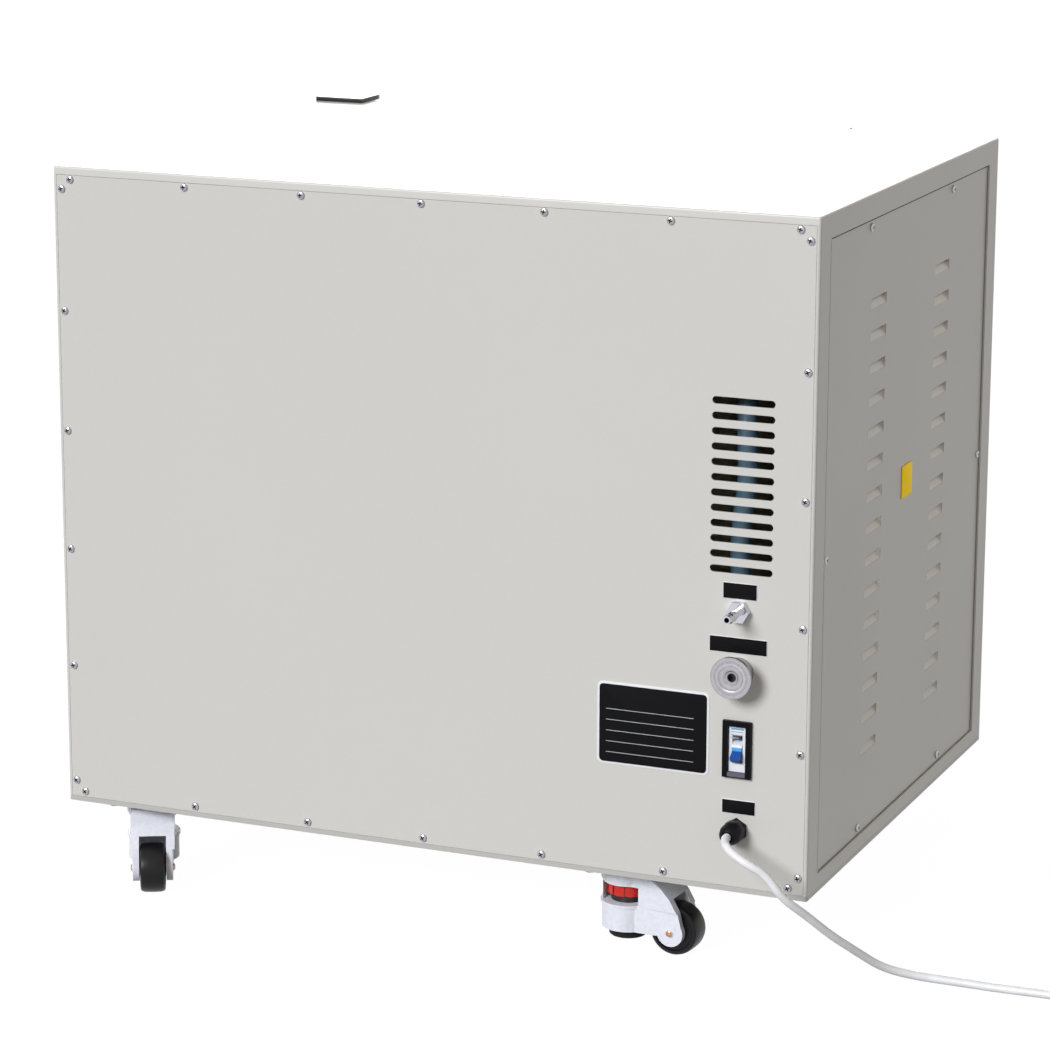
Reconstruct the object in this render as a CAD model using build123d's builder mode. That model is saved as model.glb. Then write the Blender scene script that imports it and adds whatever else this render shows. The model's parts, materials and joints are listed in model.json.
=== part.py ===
"""Floor-standing laboratory vacuum oven on levelling casters.

Millimetres.  +Z is up and the door faces -Y.  The origin is on the floor, under the
middle of the oven's outer box.
"""
from build123d import *
from math import cos, pi, radians, sin, tan
import os

os.makedirs("parts", exist_ok=True)

# ---------------------------------------------------------------- driving dimensions
cabinet_width = 786
cabinet_depth = 572
cabinet_height = 645
caster_height = 86

sheet = 1.5                # cabinet sheet metal
fit_gap = 0.3              # between neighbouring pieces that don't touch
shaft_gap = 0.08           # radial running clearance

corner_radius = 2.5        # folded edges of the cabinet
side_border = 3.5          # cabinet edge left beside the front and rear panels
top_border = 8
bottom_border = 5
ledge_width = 14           # inner flange that the panels are screwed to
ledge_lap = 3

screw_head_radius = 4
screw_head_height = 2.4
screw_radius = 2
screw_hole_radius = 2.25
screw_length = 6
rear_screw_side = 9.2      # rear screws in from the sides, top and bottom
rear_screw_first = 18.8
rear_screw_top = 12.3
rear_screw_bottom = 11
rear_column_end = 22
rear_row_count = 7
rear_column_count = 6

side_panel_depth = 509
side_panel_height = 603
side_panel_low = 18
side_recess = 2
side_screw_x = 131.5
side_screw_rim = 8
louvre_length = 50
louvre_height = 11
louvre_depth = 5
louvre_pitch = 31.24
louvre_count = 15
louvre_lowest = 96
louvre_offset = 102.5      # louvre columns from the middle of the side panel

chamber_size = 457
chamber_wall = 5
chamber_side_margin = 94   # insulation between chamber and the hinge side
service_bay = 153          # bay behind the instrument panel, from the cabinet's side
flange_size = 520
flange_thickness = 5
rail_height = 6
rail_width = 14
rail_heights = (110, 270)  # shelf rails above the chamber floor
heater_size = 430
heater_thickness = 4
insulation_side = 72       # beyond the chamber on the instrument side
insulation_rear_gap = 10

gasket_width = 12
gasket_offset = 12         # gasket centre line outside the chamber's edge
fascia_thickness = 2
fascia_opening = 500

door_gap = 3
door_thickness = 38
door_from_control = 28     # door's free edge beside the control panel
door_top_gap = 3
door_bottom_gap = 20.3
door_window = 400
door_edge_radius = 6
glass_size = 500
glass_thickness = 12
bezel_width = 20
bezel_thickness = 3
door_pocket_wall = 5

hinge_from_side = 41       # hinge axis in from the cabinet's side
hinge_width = 56
hinge_plate = 4.5
hinge_lap = 17             # how far the upper plate lies on the cabinet's top
hinge_pin_radius = 6
hinge_pin_length = 25
hinge_flange = 5
hinge_seat = 0.3           # how deep the upper plate is let into the top

spindle_from_door = 18     # latch spindle in from the door's free edge
spindle_up = 330           # above the cabinet's bottom
spindle_radius = 6
cam_reach = 33
cam_thickness = 6
cam_depth = 14             # cam's inner face in front of the cabinet
cam_width = 14
lever_length = 115
lever_width = 22
lever_thickness = 14
hub_radius = 17

strike_gap = 3             # between the strike and the door's free edge
strike_width = 19
strike_height = 24
strike_thickness = 5

control_from_side = 8
control_width = 135
control_from_bottom = 36
control_from_top = 25
control_corner = 4
control_thickness = 2

gauge_drop = 66            # instruments' middles below the control panel's top
gauge_radius = 34
gauge_depth = 32
gauge_flange = 6
dial_radius = 29
lens_thickness = 2
needle_length = 24
needle_thickness = 0.8
needle_stud_radius = 1.5
needle_zero = -45          # needle's turn from straight down at atmospheric pressure

controller_drop = 176
controller_face = 72
controller_body = 67
controller_depth = 70
controller_proud = 9
key_width = 12
key_height = 7
key_thickness = 4
key_travel = 1
key_drop = 24              # keys below the controller's middle
key_pitch = 17

valve_radius = 14
valve_length = 42
valve_stem_radius = 5
valve_stem_length = 22
vacuum_valve_drop = 276
vent_valve_drop = 376
knob_radius = 20
knob_height = 24
knob_flutes = 8
knob_edge = 1.2

switch_drop = 486
switch_width = 22
switch_height = 30
switch_depth = 26
switch_rim = 3
rocker_throw = 16
rocker_axle_radius = 1.5

port_from_side = 70.7      # rear fittings in from the instrument side
vent_port_up = 273.5       # rear fittings above the cabinet's bottom
vacuum_port_up = 214.7
breaker_up = 140.6
gland_up = 62
vacuum_port_reach = 23
flange_radius = 20
flange_rim = 3
port_tube_radius = 14
port_mouth_radius = 13
port_mouth_depth = 3
port_bore_radius = 4
elbow_size = 26
elbow_depth = 22           # elbow's near face behind the rear panel
vent_hex = 19
vent_hex_height = 8
vent_tube_radius = 4
vent_tube_length = 12
vent_bore_radius = 2.5
barb_radius = 5
barb_length = 8
barb_land = 3              # straight part of a barb
barb_count = 2
barb_taper = 12

slot_length = 61.2
slot_height = 7
slot_pitch = 14.4
slot_count = 12
slot_lowest = 312
slot_from_side = 70.4

breaker_frame_width = 28
breaker_frame_height = 55
bezel_proud = 4
bezel_slope = 4            # slope at the bottom of the frame's opening
breaker_face_width = 17
breaker_face_height = 44
breaker_width = 18
breaker_height = 80
breaker_depth = 62
toggle_drum_radius = 7
toggle_width = 9.6
toggle_paddle = 15
toggle_paddle_thickness = 5
toggle_angle = 38
toggle_axle_radius = 1.5

gland_radius = 13
gland_thread_radius = 9
gland_reach = 26
gland_dome = 9
gland_taper = 32
cord_radius = 4
plug_width = 28
plug_height = 20
boot_radius = 7.5
boot_length = 18
boot_taper = 7
blade_spacing = 12.7
blade_length = 18
blade_thickness = 1.5
blade_height = 6.4
earth_pin_radius = 2.4
hose_radius = 9.5

caster_side_left = 198     # caster axes in from the cabinet's sides
caster_side_right = 68
caster_end = 51            # caster axes in from front and rear
caster_plate = 73
caster_plate_thickness = 4
caster_bolt_pitch = 57
caster_bolt_radius = 4.3
wheel_radius = 25
wheel_width = 26
wheel_offset = 53
axle_radius = 4
arm_thickness = 7
shoulder_thickness = 9
boss_radius = 13.5
housing_radius = 25
housing_wall = 3
housing_bottom = 20
band_top = 47
band_lip = 3               # height of the lip under the window
window_top = 66
window_width = 41
fork_top = 58              # underside of the web over the wheel
shoulder_low = 46          # the arms' thicker upper part starts here
foot_radius = 18.5
foot_clearance = 11
foot_pad = 8
foot_flange = 3
stem_radius = 6
stem_top = 68
level_wheel_radius = 20.5
level_wheel_hub_radius = 17
level_wheel_low = 54       # underside of the levelling wheel's rim
level_wheel_high = 65
caster_angles = {"rear_left": 176, "rear_right": 117, "front_left": 200, "front_right": 160}

# ---------------------------------------------------------------- worked-out places
half_width = cabinet_width / 2
# how far the lever stands before the cabinet's front and the vent nozzle behind its rear
handle_reach = door_gap + door_thickness + fit_gap + 2 * lever_thickness
port_reach = vent_hex_height + vent_tube_length + barb_count * barb_length
total_depth = handle_reach + cabinet_depth + port_reach
front = -total_depth / 2 + handle_reach
rear = front + cabinet_depth
floor_z = caster_height
top_z = caster_height + cabinet_height
side_middle_y = (front + rear) / 2
chamber_width = cabinet_width - service_bay - insulation_side - chamber_side_margin - 2 * chamber_wall
wider = chamber_width - chamber_size     # how much wider than high the chamber is
chamber_x = half_width - chamber_side_margin - chamber_wall - chamber_width / 2
chamber_z = floor_z + cabinet_height / 2
half_chamber = chamber_size / 2
half_chamber_x = chamber_width / 2
outer_chamber = half_chamber + chamber_wall
outer_chamber_x = half_chamber_x + chamber_wall
chamber_front = front + fascia_thickness
chamber_back = chamber_front + chamber_size
door_back = front - door_gap
door_front = door_back - door_thickness
control_left = -half_width + control_from_side
control_right = control_left + control_width
control_low = floor_z + control_from_bottom
control_high = top_z - control_from_top
instrument_x = (control_left + control_right) / 2
gauge_z = control_high - gauge_drop
controller_z = control_high - controller_drop
vacuum_valve_z = control_high - vacuum_valve_drop
vent_valve_z = control_high - vent_valve_drop
switch_z = control_high - switch_drop
door_left = control_right + door_from_control
door_bottom = floor_z + door_bottom_gap
spindle_x = door_left + spindle_from_door
spindle_z = floor_z + spindle_up
strike_right = door_left - strike_gap
strike_left = strike_right - strike_width
hinge_x = half_width - hinge_from_side
hinge_y = door_back - door_thickness / 2
door_top = top_z - door_top_gap
port_x = -half_width + port_from_side
base_thickness = 2
cam_y = front - cam_depth


def block(low, high, mode=Mode.ADD):
    """A box between two opposite corners."""
    size = [b - a for a, b in zip(low, high)]
    with Locations(tuple((a + b) / 2 for a, b in zip(low, high))):
        Box(*size, mode=mode)


def front_plane(y):
    """A plane that faces the front; its x is the row's x and its y is up."""
    return Plane(origin=(0, y, 0), x_dir=(1, 0, 0), z_dir=(0, -1, 0))


def rear_plane(y):
    """A plane that faces the rear; its x is the row's -x and its y is up."""
    return Plane(origin=(0, y, 0), x_dir=(-1, 0, 0), z_dir=(0, 1, 0))


def left_plane(x):
    """A plane that faces the instrument side; its x is the row's -y and its y is up."""
    return Plane(origin=(x, 0, 0), x_dir=(0, -1, 0), z_dir=(-1, 0, 0))


def chamber_ring(outer, inner):
    """A ring round the chamber's middle in the current sketch, given by its heights."""
    with Locations((chamber_x, chamber_z)):
        Rectangle(outer + wider, outer)
        Rectangle(inner + wider, inner, mode=Mode.SUBTRACT)


def save(piece, name):
    """Label a finished piece and write its file."""
    piece.part.label = name
    export_step(piece.part, f"parts/{name}.step")


# ---------------------------------------------------------------- screw patterns
rear_row_pitch = (cabinet_width - 2 * rear_screw_first) / (rear_row_count - 1)
rear_column_pitch = (cabinet_height - 2 * rear_column_end) / (rear_column_count - 1)
rear_rows = [-half_width + rear_screw_first + i * rear_row_pitch for i in range(rear_row_count)]
rear_columns = [floor_z + rear_column_end + i * rear_column_pitch for i in range(rear_column_count)]
rear_screws = (
    [(x, top_z - rear_screw_top) for x in rear_rows]
    + [(x, floor_z + rear_screw_bottom) for x in rear_rows]
    + [(side * (half_width - rear_screw_side), z) for z in rear_columns for side in (-1, 1)]
)
panel_middle_z = floor_z + side_panel_low + side_panel_height / 2
side_screw_z = side_panel_height / 2 - side_screw_rim
side_screw_y = side_panel_depth / 2 - side_screw_rim
side_screws = [
    (side * side_screw_x - side_middle_y, panel_middle_z + end * side_screw_z)
    for side in (-1, 1)
    for end in (-1, 1)
] + [(side * side_screw_y - side_middle_y, panel_middle_z) for side in (-1, 1)]

# ---------------------------------------------------------------- cabinet shell
opening_low = floor_z + bottom_border
opening_high = top_z - top_border
opening_half = half_width - side_border
panel_seat = side_recess + sheet     # how deep the side panels' ledge lies


def end_opening(y_low, y_high, grow, mode=Mode.SUBTRACT):
    """The opening for the front or rear panel, made larger or smaller by grow."""
    block(
        (-opening_half - grow, y_low, opening_low - grow),
        (opening_half + grow, y_high, opening_high + grow),
        mode,
    )


def side_opening(side, deep_low, deep_high, grow, mode=Mode.SUBTRACT):
    """The opening for a side panel between two depths from the cabinet's side."""
    xs = sorted((side * (half_width - deep_low), side * (half_width - deep_high)))
    half_y = side_panel_depth / 2 + fit_gap + grow
    half_z = side_panel_height / 2 + fit_gap + grow
    block(
        (xs[0], side_middle_y - half_y, panel_middle_z - half_z),
        (xs[1], side_middle_y + half_y, panel_middle_z + half_z),
        mode,
    )


with BuildPart() as cabinet_shell:
    block((-half_width, front, floor_z), (half_width, rear, top_z))
    fillet(cabinet_shell.edges().filter_by(Axis.Z), corner_radius)
    fillet(cabinet_shell.edges().group_by(Axis.Z)[-1], corner_radius * 0.8)
    inner = half_width - sheet
    block(
        (-inner, front + sheet, floor_z - 1),
        (inner, rear - sheet, top_z - sheet),
        Mode.SUBTRACT,
    )
    # joggled ledges behind the front and rear openings, then the openings
    end_opening(rear - 2 * sheet, rear - sheet, ledge_lap - sheet, Mode.ADD)
    fascia_seat = front + fascia_thickness
    end_opening(fascia_seat, fascia_seat + sheet, ledge_lap - sheet, Mode.ADD)
    end_opening(front + sheet, fascia_seat, ledge_lap - sheet, Mode.ADD)
    end_opening(rear - 4 * sheet, rear, -ledge_width)
    end_opening(front, front + 4 * sheet, -ledge_width)
    end_opening(rear - sheet, rear, 0)
    end_opening(front, fascia_seat, 0)
    for side in (-1, 1):
        side_opening(side, sheet, panel_seat + sheet, ledge_lap, Mode.ADD)
        side_opening(side, 0, panel_seat, 0)
        side_opening(side, 0, panel_seat + 2 * sheet, -ledge_width)
    # shallow seat of the upper hinge plate
    block(
        (hinge_x - hinge_width / 2 - fit_gap, front - 1, top_z - hinge_seat),
        (hinge_x + hinge_width / 2 + fit_gap, front + hinge_lap + fit_gap, top_z + 1),
        Mode.SUBTRACT,
    )
    with BuildSketch(rear_plane(rear)):
        with Locations(*[(-x, z) for x, z in rear_screws]):
            Circle(screw_hole_radius)
    extrude(amount=-4 * sheet, mode=Mode.SUBTRACT)
    with BuildSketch(left_plane(-half_width)):
        with Locations(*side_screws):
            Circle(screw_hole_radius)
    extrude(amount=-4 * sheet, mode=Mode.SUBTRACT)
    with BuildSketch(left_plane(half_width)):
        with Locations(*side_screws):
            Circle(screw_hole_radius)
    extrude(amount=4 * sheet, mode=Mode.SUBTRACT)
save(cabinet_shell, "cabinet_shell")

# ---------------------------------------------------------------- base pan
caster_places = {
    "rear_left": (-half_width + caster_side_left, rear - caster_end),
    "rear_right": (half_width - caster_side_right, rear - caster_end),
    "front_left": (-half_width + caster_side_left, front + caster_end),
    "front_right": (half_width - caster_side_right, front + caster_end),
}
with BuildPart() as base_pan:
    edge = sheet + fit_gap
    block(
        (-half_width + edge, front + edge, floor_z),
        (half_width - edge, rear - edge, floor_z + base_thickness),
    )
    with BuildSketch(Plane.XY.offset(floor_z)):
        with Locations(*caster_places.values()):
            with GridLocations(caster_bolt_pitch, caster_bolt_pitch, 2, 2):
                Circle(caster_bolt_radius)
    extrude(amount=base_thickness, mode=Mode.SUBTRACT)
save(base_pan, "base_pan")

# ---------------------------------------------------------------- rear panel
rear_panel_low = opening_low + fit_gap
rear_panel_high = opening_high - fit_gap
rear_panel_half = opening_half - fit_gap
with BuildPart() as rear_panel:
    block((-rear_panel_half, rear - sheet, rear_panel_low), (rear_panel_half, rear, rear_panel_high))
    with BuildSketch(rear_plane(rear)):
        with Locations(*[(-x, z) for x, z in rear_screws]):
            Circle(screw_hole_radius)
        slot_x = half_width - slot_from_side
        slot_zs = [floor_z + slot_lowest + i * slot_pitch for i in range(slot_count)]
        with Locations(*[(slot_x, z) for z in slot_zs]):
            SlotOverall(slot_length, slot_height)
        with Locations((-port_x, floor_z + vent_port_up)):
            Circle(vent_tube_radius + fit_gap)
        with Locations((-port_x, floor_z + vacuum_port_up)):
            Circle(port_tube_radius + fit_gap)
        with Locations((-port_x, floor_z + breaker_up)):
            Rectangle(breaker_face_width + 2 * fit_gap, breaker_face_height + 2 * fit_gap)
        with Locations((-port_x, floor_z + gland_up)):
            Circle(gland_thread_radius + fit_gap)
    extrude(amount=-sheet, mode=Mode.SUBTRACT)
save(rear_panel, "rear_panel")

# ---------------------------------------------------------------- louvred side panels
louvre_zs = [floor_z + louvre_lowest + i * louvre_pitch for i in range(louvre_count)]
panel_face = -half_width + side_recess
louvre_starts = [
    side_middle_y + column * louvre_offset + louvre_length / 2 for column in (-1, 1)
]
with BuildPart() as left_side_panel:
    block(
        (
            panel_face,
            side_middle_y - side_panel_depth / 2,
            panel_middle_z - side_panel_height / 2,
        ),
        (
            panel_face + sheet,
            side_middle_y + side_panel_depth / 2,
            panel_middle_z + side_panel_height / 2,
        ),
    )
    for start in louvre_starts:
        hood_plane = Plane(origin=(panel_face, start, 0), x_dir=(1, 0, 0), z_dir=(0, -1, 0))
        with BuildSketch(hood_plane):
            for z in louvre_zs:
                with BuildLine():
                    Polyline(
                        (sheet / 2, z - sheet),
                        (sheet / 2, z + louvre_height),
                        (louvre_depth + sheet, z + louvre_height),
                        (sheet, z - sheet),
                        close=True,
                    )
                make_face()
        extrude(amount=louvre_length)
    for start in louvre_starts:
        pocket_plane = Plane(
            origin=(panel_face, start - sheet, 0), x_dir=(1, 0, 0), z_dir=(0, -1, 0)
        )
        with BuildSketch(pocket_plane):
            for z in louvre_zs:
                with BuildLine():
                    Polyline(
                        (0, z),
                        (0, z + louvre_height),
                        (louvre_depth, z + louvre_height),
                        close=True,
                    )
                make_face()
        extrude(amount=louvre_length - 2 * sheet, mode=Mode.SUBTRACT)
    with BuildSketch(left_plane(panel_face)):
        with Locations(*side_screws):
            Circle(screw_hole_radius)
    extrude(amount=-sheet, mode=Mode.SUBTRACT)
save(left_side_panel, "left_side_panel")

with BuildPart() as right_side_panel:
    add(left_side_panel.part)
    mirror(about=Plane.YZ, mode=Mode.REPLACE)
save(right_side_panel, "right_side_panel")

# ---------------------------------------------------------------- panel screws
with BuildPart() as panel_screws:
    with BuildSketch(rear_plane(rear)):
        with Locations(*[(-x, z) for x, z in rear_screws]):
            Circle(screw_head_radius)
    extrude(amount=screw_head_height, taper=12)
    with BuildSketch(rear_plane(rear)):
        with Locations(*[(-x, z) for x, z in rear_screws]):
            Circle(screw_radius)
    extrude(amount=-screw_length)
    for plane, outward in ((left_plane(panel_face), 1), (left_plane(-panel_face), -1)):
        with BuildSketch(plane):
            with Locations(*side_screws):
                Circle(screw_head_radius)
        extrude(amount=outward * screw_head_height)
        with BuildSketch(plane):
            with Locations(*side_screws):
                Circle(screw_radius)
        extrude(amount=-outward * screw_length)
save(panel_screws, "panel_screws")

# ---------------------------------------------------------------- front fascia and control panel
controller_hole = controller_body + 2 * fit_gap
with BuildPart() as front_fascia:
    block(
        (-rear_panel_half, front, rear_panel_low),
        (rear_panel_half, front + fascia_thickness, rear_panel_high),
    )
    with BuildSketch(front_plane(front)):
        with Locations((chamber_x, chamber_z)):
            Rectangle(fascia_opening + wider, fascia_opening)
        with Locations((instrument_x, (control_low + control_high) / 2)):
            Rectangle(
                control_width - 2 * ledge_width,
                control_high - control_low - 2 * ledge_width,
            )
    extrude(amount=-fascia_thickness, mode=Mode.SUBTRACT)
save(front_fascia, "front_fascia")

panel_front = front - control_thickness
with BuildPart() as control_panel:
    block((control_left, panel_front, control_low), (control_right, front, control_high))
    fillet(control_panel.edges().filter_by(Axis.Y), control_corner)
    with BuildSketch(front_plane(panel_front)):
        with Locations((instrument_x, gauge_z)):
            Circle(gauge_radius - 3)
        with Locations((instrument_x, controller_z)):
            Rectangle(controller_hole, controller_hole)
        with Locations((instrument_x, vacuum_valve_z), (instrument_x, vent_valve_z)):
            Circle(valve_stem_radius + fit_gap)
        with Locations((instrument_x, switch_z)):
            Rectangle(switch_width + 2 * fit_gap, switch_height + 2 * fit_gap)
    extrude(amount=-control_thickness, mode=Mode.SUBTRACT)
save(control_panel, "control_panel")

# ---------------------------------------------------------------- chamber, heaters, insulation
with BuildPart() as chamber:
    block(
        (chamber_x - outer_chamber_x, chamber_front, chamber_z - outer_chamber),
        (chamber_x + outer_chamber_x, chamber_back + chamber_wall, chamber_z + outer_chamber),
    )
    with BuildSketch(front_plane(chamber_front + flange_thickness)):
        with Locations((chamber_x, chamber_z)):
            Rectangle(flange_size + wider, flange_size)
    extrude(amount=flange_thickness)
    block(
        (chamber_x - half_chamber_x, chamber_front, chamber_z - half_chamber),
        (chamber_x + half_chamber_x, chamber_back, chamber_z + half_chamber),
        Mode.SUBTRACT,
    )
    for rise in rail_heights:
        rail_z = chamber_z - half_chamber + rise
        for side in (-1, 1):
            xs = sorted((
                chamber_x + side * (half_chamber_x + 1),
                chamber_x + side * (half_chamber_x - rail_width),
            ))
            block(
                (xs[0], chamber_front + rail_width, rail_z - rail_height),
                (xs[1], chamber_back - rail_width, rail_z),
            )
save(chamber, "chamber")

with BuildPart() as heater_plates:
    heater_low = chamber_front + flange_thickness + 10
    heater_high = chamber_back - 10
    half_heater = heater_size / 2
    half_heater_x = half_heater + wider / 2
    for side in (-1, 1):
        ends = sorted((side * outer_chamber_x, side * (outer_chamber_x + heater_thickness)))
        block(
            (chamber_x + ends[0], heater_low, chamber_z - half_heater),
            (chamber_x + ends[1], heater_high, chamber_z + half_heater),
        )
        ends = sorted((side * outer_chamber, side * (outer_chamber + heater_thickness)))
        block(
            (chamber_x - half_heater_x, heater_low, chamber_z + ends[0]),
            (chamber_x + half_heater_x, heater_high, chamber_z + ends[1]),
        )
save(heater_plates, "heater_plates")

with BuildPart() as insulation:
    jacket = outer_chamber + heater_thickness + fit_gap
    jacket_x = jacket + wider / 2
    block(
        (
            chamber_x - outer_chamber_x - insulation_side,
            chamber_front + flange_thickness + fit_gap,
            floor_z + base_thickness + fit_gap,
        ),
        (half_width - sheet - 8, rear - insulation_rear_gap, top_z - sheet - fit_gap),
    )
    block(
        (chamber_x - jacket_x, front, chamber_z - jacket),
        (chamber_x + jacket_x, chamber_back + chamber_wall + fit_gap, chamber_z + jacket),
        Mode.SUBTRACT,
    )
save(insulation, "insulation")

# ---------------------------------------------------------------- shelves
shelf_drop = 12
for name, rise in zip(("shelf_lower", "shelf_upper"), rail_heights):
    shelf_z = chamber_z - half_chamber + rise + fit_gap
    shelf_half = half_chamber_x - 2
    with BuildPart() as shelf:
        block(
            (chamber_x - shelf_half, chamber_front + 18, shelf_z),
            (chamber_x + shelf_half, chamber_back - 6, shelf_z + 2),
        )
        block(
            (chamber_x - shelf_half + rail_width + 4, chamber_front + 18, shelf_z - shelf_drop),
            (chamber_x + shelf_half - rail_width - 4, chamber_front + 20, shelf_z),
        )
        with BuildSketch(Plane.XY.offset(shelf_z)):
            with Locations((chamber_x, (chamber_front + chamber_back) / 2 + 6)):
                with GridLocations(76, 62, 5, 6):
                    SlotOverall(52, 12)
        extrude(amount=2, mode=Mode.SUBTRACT)
    save(shelf, name)

# ---------------------------------------------------------------- gasket and door
with BuildPart() as door_gasket:
    gasket_middle = chamber_size + 2 * gasket_offset
    with BuildSketch(front_plane(chamber_front)):
        chamber_ring(gasket_middle + gasket_width, gasket_middle - gasket_width)
    extrude(amount=fascia_thickness + door_gap - fit_gap)
save(door_gasket, "door_gasket")

door_edge = hinge_x + door_thickness / 2
glass_pocket = glass_size + 2 * fit_gap
with BuildPart() as door_shell:
    with BuildSketch(Plane.XY.offset(door_bottom)):
        with BuildLine():
            Polyline(
                (hinge_x, door_back),
                (door_left, door_back),
                (door_left, door_front),
                (hinge_x, door_front),
            )
            ThreePointArc((hinge_x, door_front), (door_edge, hinge_y), (hinge_x, door_back))
        make_face()
    extrude(amount=door_top - door_bottom)
    front_edges = door_shell.faces().sort_by(Axis.Y)[0].edges()
    chamfer(front_edges.filter_by(Axis.X), door_edge_radius)
    with BuildSketch(front_plane(door_back)):
        with Locations((chamber_x, chamber_z)):
            Rectangle(door_window + wider, door_window)
    extrude(amount=door_thickness, mode=Mode.SUBTRACT)
    with BuildSketch(front_plane(door_back)):
        with Locations((chamber_x, chamber_z)):
            Rectangle(glass_pocket + wider, glass_pocket)
    extrude(amount=glass_thickness + fit_gap, mode=Mode.SUBTRACT)
    # lightening pockets above and below the glass, open to the back
    pocket_half = glass_pocket / 2
    for low, high in (
        (door_bottom + door_pocket_wall, chamber_z - pocket_half - door_pocket_wall),
        (chamber_z + pocket_half + door_pocket_wall, door_top - door_pocket_wall),
    ):
        block(
            (door_left + door_pocket_wall, door_front + 2 * door_pocket_wall, low),
            (chamber_x + pocket_half + wider / 2, door_back, high),
            Mode.SUBTRACT,
        )
    for z in (door_bottom, door_top - hinge_pin_length):
        with BuildSketch(Plane.XY.offset(z)):
            with Locations((hinge_x, hinge_y)):
                Circle(hinge_pin_radius + shaft_gap)
        extrude(amount=hinge_pin_length, mode=Mode.SUBTRACT)
    # notch that the latch cam turns in, and the spindle's bore
    block(
        (door_left - 1, cam_y - cam_thickness - 1, spindle_z - cam_reach - 3),
        (spindle_x + 10, cam_y + 1, spindle_z + 10),
        Mode.SUBTRACT,
    )
    with BuildSketch(front_plane(cam_y)):
        with Locations((spindle_x, spindle_z)):
            Circle(spindle_radius + shaft_gap)
    extrude(amount=door_thickness, mode=Mode.SUBTRACT)
save(door_shell, "door_shell")

half_glass = glass_size / 2
half_glass_x = half_glass + wider / 2
with BuildPart() as door_glass:
    block(
        (chamber_x - half_glass_x, door_back - glass_thickness, chamber_z - half_glass),
        (chamber_x + half_glass_x, door_back, chamber_z + half_glass),
    )
save(door_glass, "door_glass")

with BuildPart() as window_bezel:
    with BuildSketch(front_plane(door_front)):
        chamber_ring(door_window + 2 * bezel_width, door_window)
    extrude(amount=bezel_thickness)
    chamfer(window_bezel.faces().sort_by(Axis.Y)[0].edges(), bezel_thickness / 3)
save(window_bezel, "window_bezel")

# ---------------------------------------------------------------- hinges
with BuildPart() as hinge_brackets:
    with BuildSketch(Plane.XY.offset(top_z - hinge_seat)):
        with BuildLine():
            Polyline(
                (hinge_x - hinge_width / 2, hinge_y),
                (hinge_x - hinge_width / 2, front + hinge_lap),
                (hinge_x + hinge_width / 2, front + hinge_lap),
                (hinge_x + hinge_width / 2, hinge_y),
            )
            CenterArc((hinge_x, hinge_y), hinge_width / 2, 180, 180)
        make_face()
    extrude(amount=hinge_plate + hinge_seat)
    fillet(hinge_brackets.faces().sort_by(Axis.Z)[-1].edges(), 1.5)
    with BuildSketch(Plane.XY.offset(top_z)):
        with Locations((hinge_x, hinge_y)):
            Circle(hinge_pin_radius)
    extrude(amount=-hinge_pin_length)
    lower_top = door_bottom - fit_gap
    with BuildSketch(Plane.XY.offset(lower_top)):
        with BuildLine():
            Polyline(
                (hinge_x - hinge_width / 2, hinge_y),
                (hinge_x - hinge_width / 2, front),
                (hinge_x + hinge_width / 2, front),
                (hinge_x + hinge_width / 2, hinge_y),
            )
            CenterArc((hinge_x, hinge_y), hinge_width / 2, 180, 180)
        make_face()
    extrude(amount=-hinge_flange)
    block(
        (hinge_x - hinge_width / 2, front - hinge_flange, rear_panel_low),
        (hinge_x + hinge_width / 2, front, lower_top),
    )
    with BuildSketch(Plane.XY.offset(lower_top)):
        with Locations((hinge_x, hinge_y)):
            Circle(hinge_pin_radius)
    extrude(amount=hinge_pin_length)
save(hinge_brackets, "hinge_brackets")

# ---------------------------------------------------------------- latch and handle
lever_back = door_front - fit_gap
with BuildPart() as handle_lever:
    with BuildSketch(front_plane(lever_back)):
        with Locations((spindle_x, spindle_z)):
            Circle(hub_radius)
    extrude(amount=lever_thickness)
    grip_back = lever_back - lever_thickness
    with BuildSketch(front_plane(grip_back)):
        with Locations((spindle_x + lever_length / 2, spindle_z)):
            SlotCenterToCenter(lever_length, lever_width)
    extrude(amount=lever_thickness)
    fillet(handle_lever.faces().sort_by(Axis.Y)[0].edges(), 4)
    with BuildSketch(front_plane(lever_back)):
        with Locations((spindle_x, spindle_z)):
            Circle(spindle_radius)
    extrude(amount=-(cam_y - lever_back))
save(handle_lever, "handle_lever")

with BuildPart() as latch_cam:
    with BuildSketch(front_plane(cam_y)):
        with Locations((spindle_x, spindle_z)):
            Circle(cam_width / 2 + 1.5)
        with Locations((spindle_x, spindle_z - cam_reach / 2)):
            Rectangle(cam_width, cam_reach)
        with Locations((spindle_x, spindle_z)):
            Circle(spindle_radius + 0.02, mode=Mode.SUBTRACT)
    extrude(amount=cam_thickness)
save(latch_cam, "latch_cam")

with BuildPart() as latch_strike:
    strike_low = spindle_z - strike_height / 2
    strike_high = spindle_z + strike_height / 2
    lip = cam_y - cam_thickness - 1
    lip_front = lip - strike_thickness
    block((strike_left, front - strike_thickness, strike_low), (strike_right, front, strike_high))
    block((strike_left, lip_front, strike_low), (strike_left + strike_thickness, front, strike_high))
    block((strike_left, lip_front, strike_low), (strike_right, lip, strike_high))
    fillet(latch_strike.edges().filter_by(Axis.Z).sort_by(Axis.Y)[0:2], 2)
save(latch_strike, "latch_strike")

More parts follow.
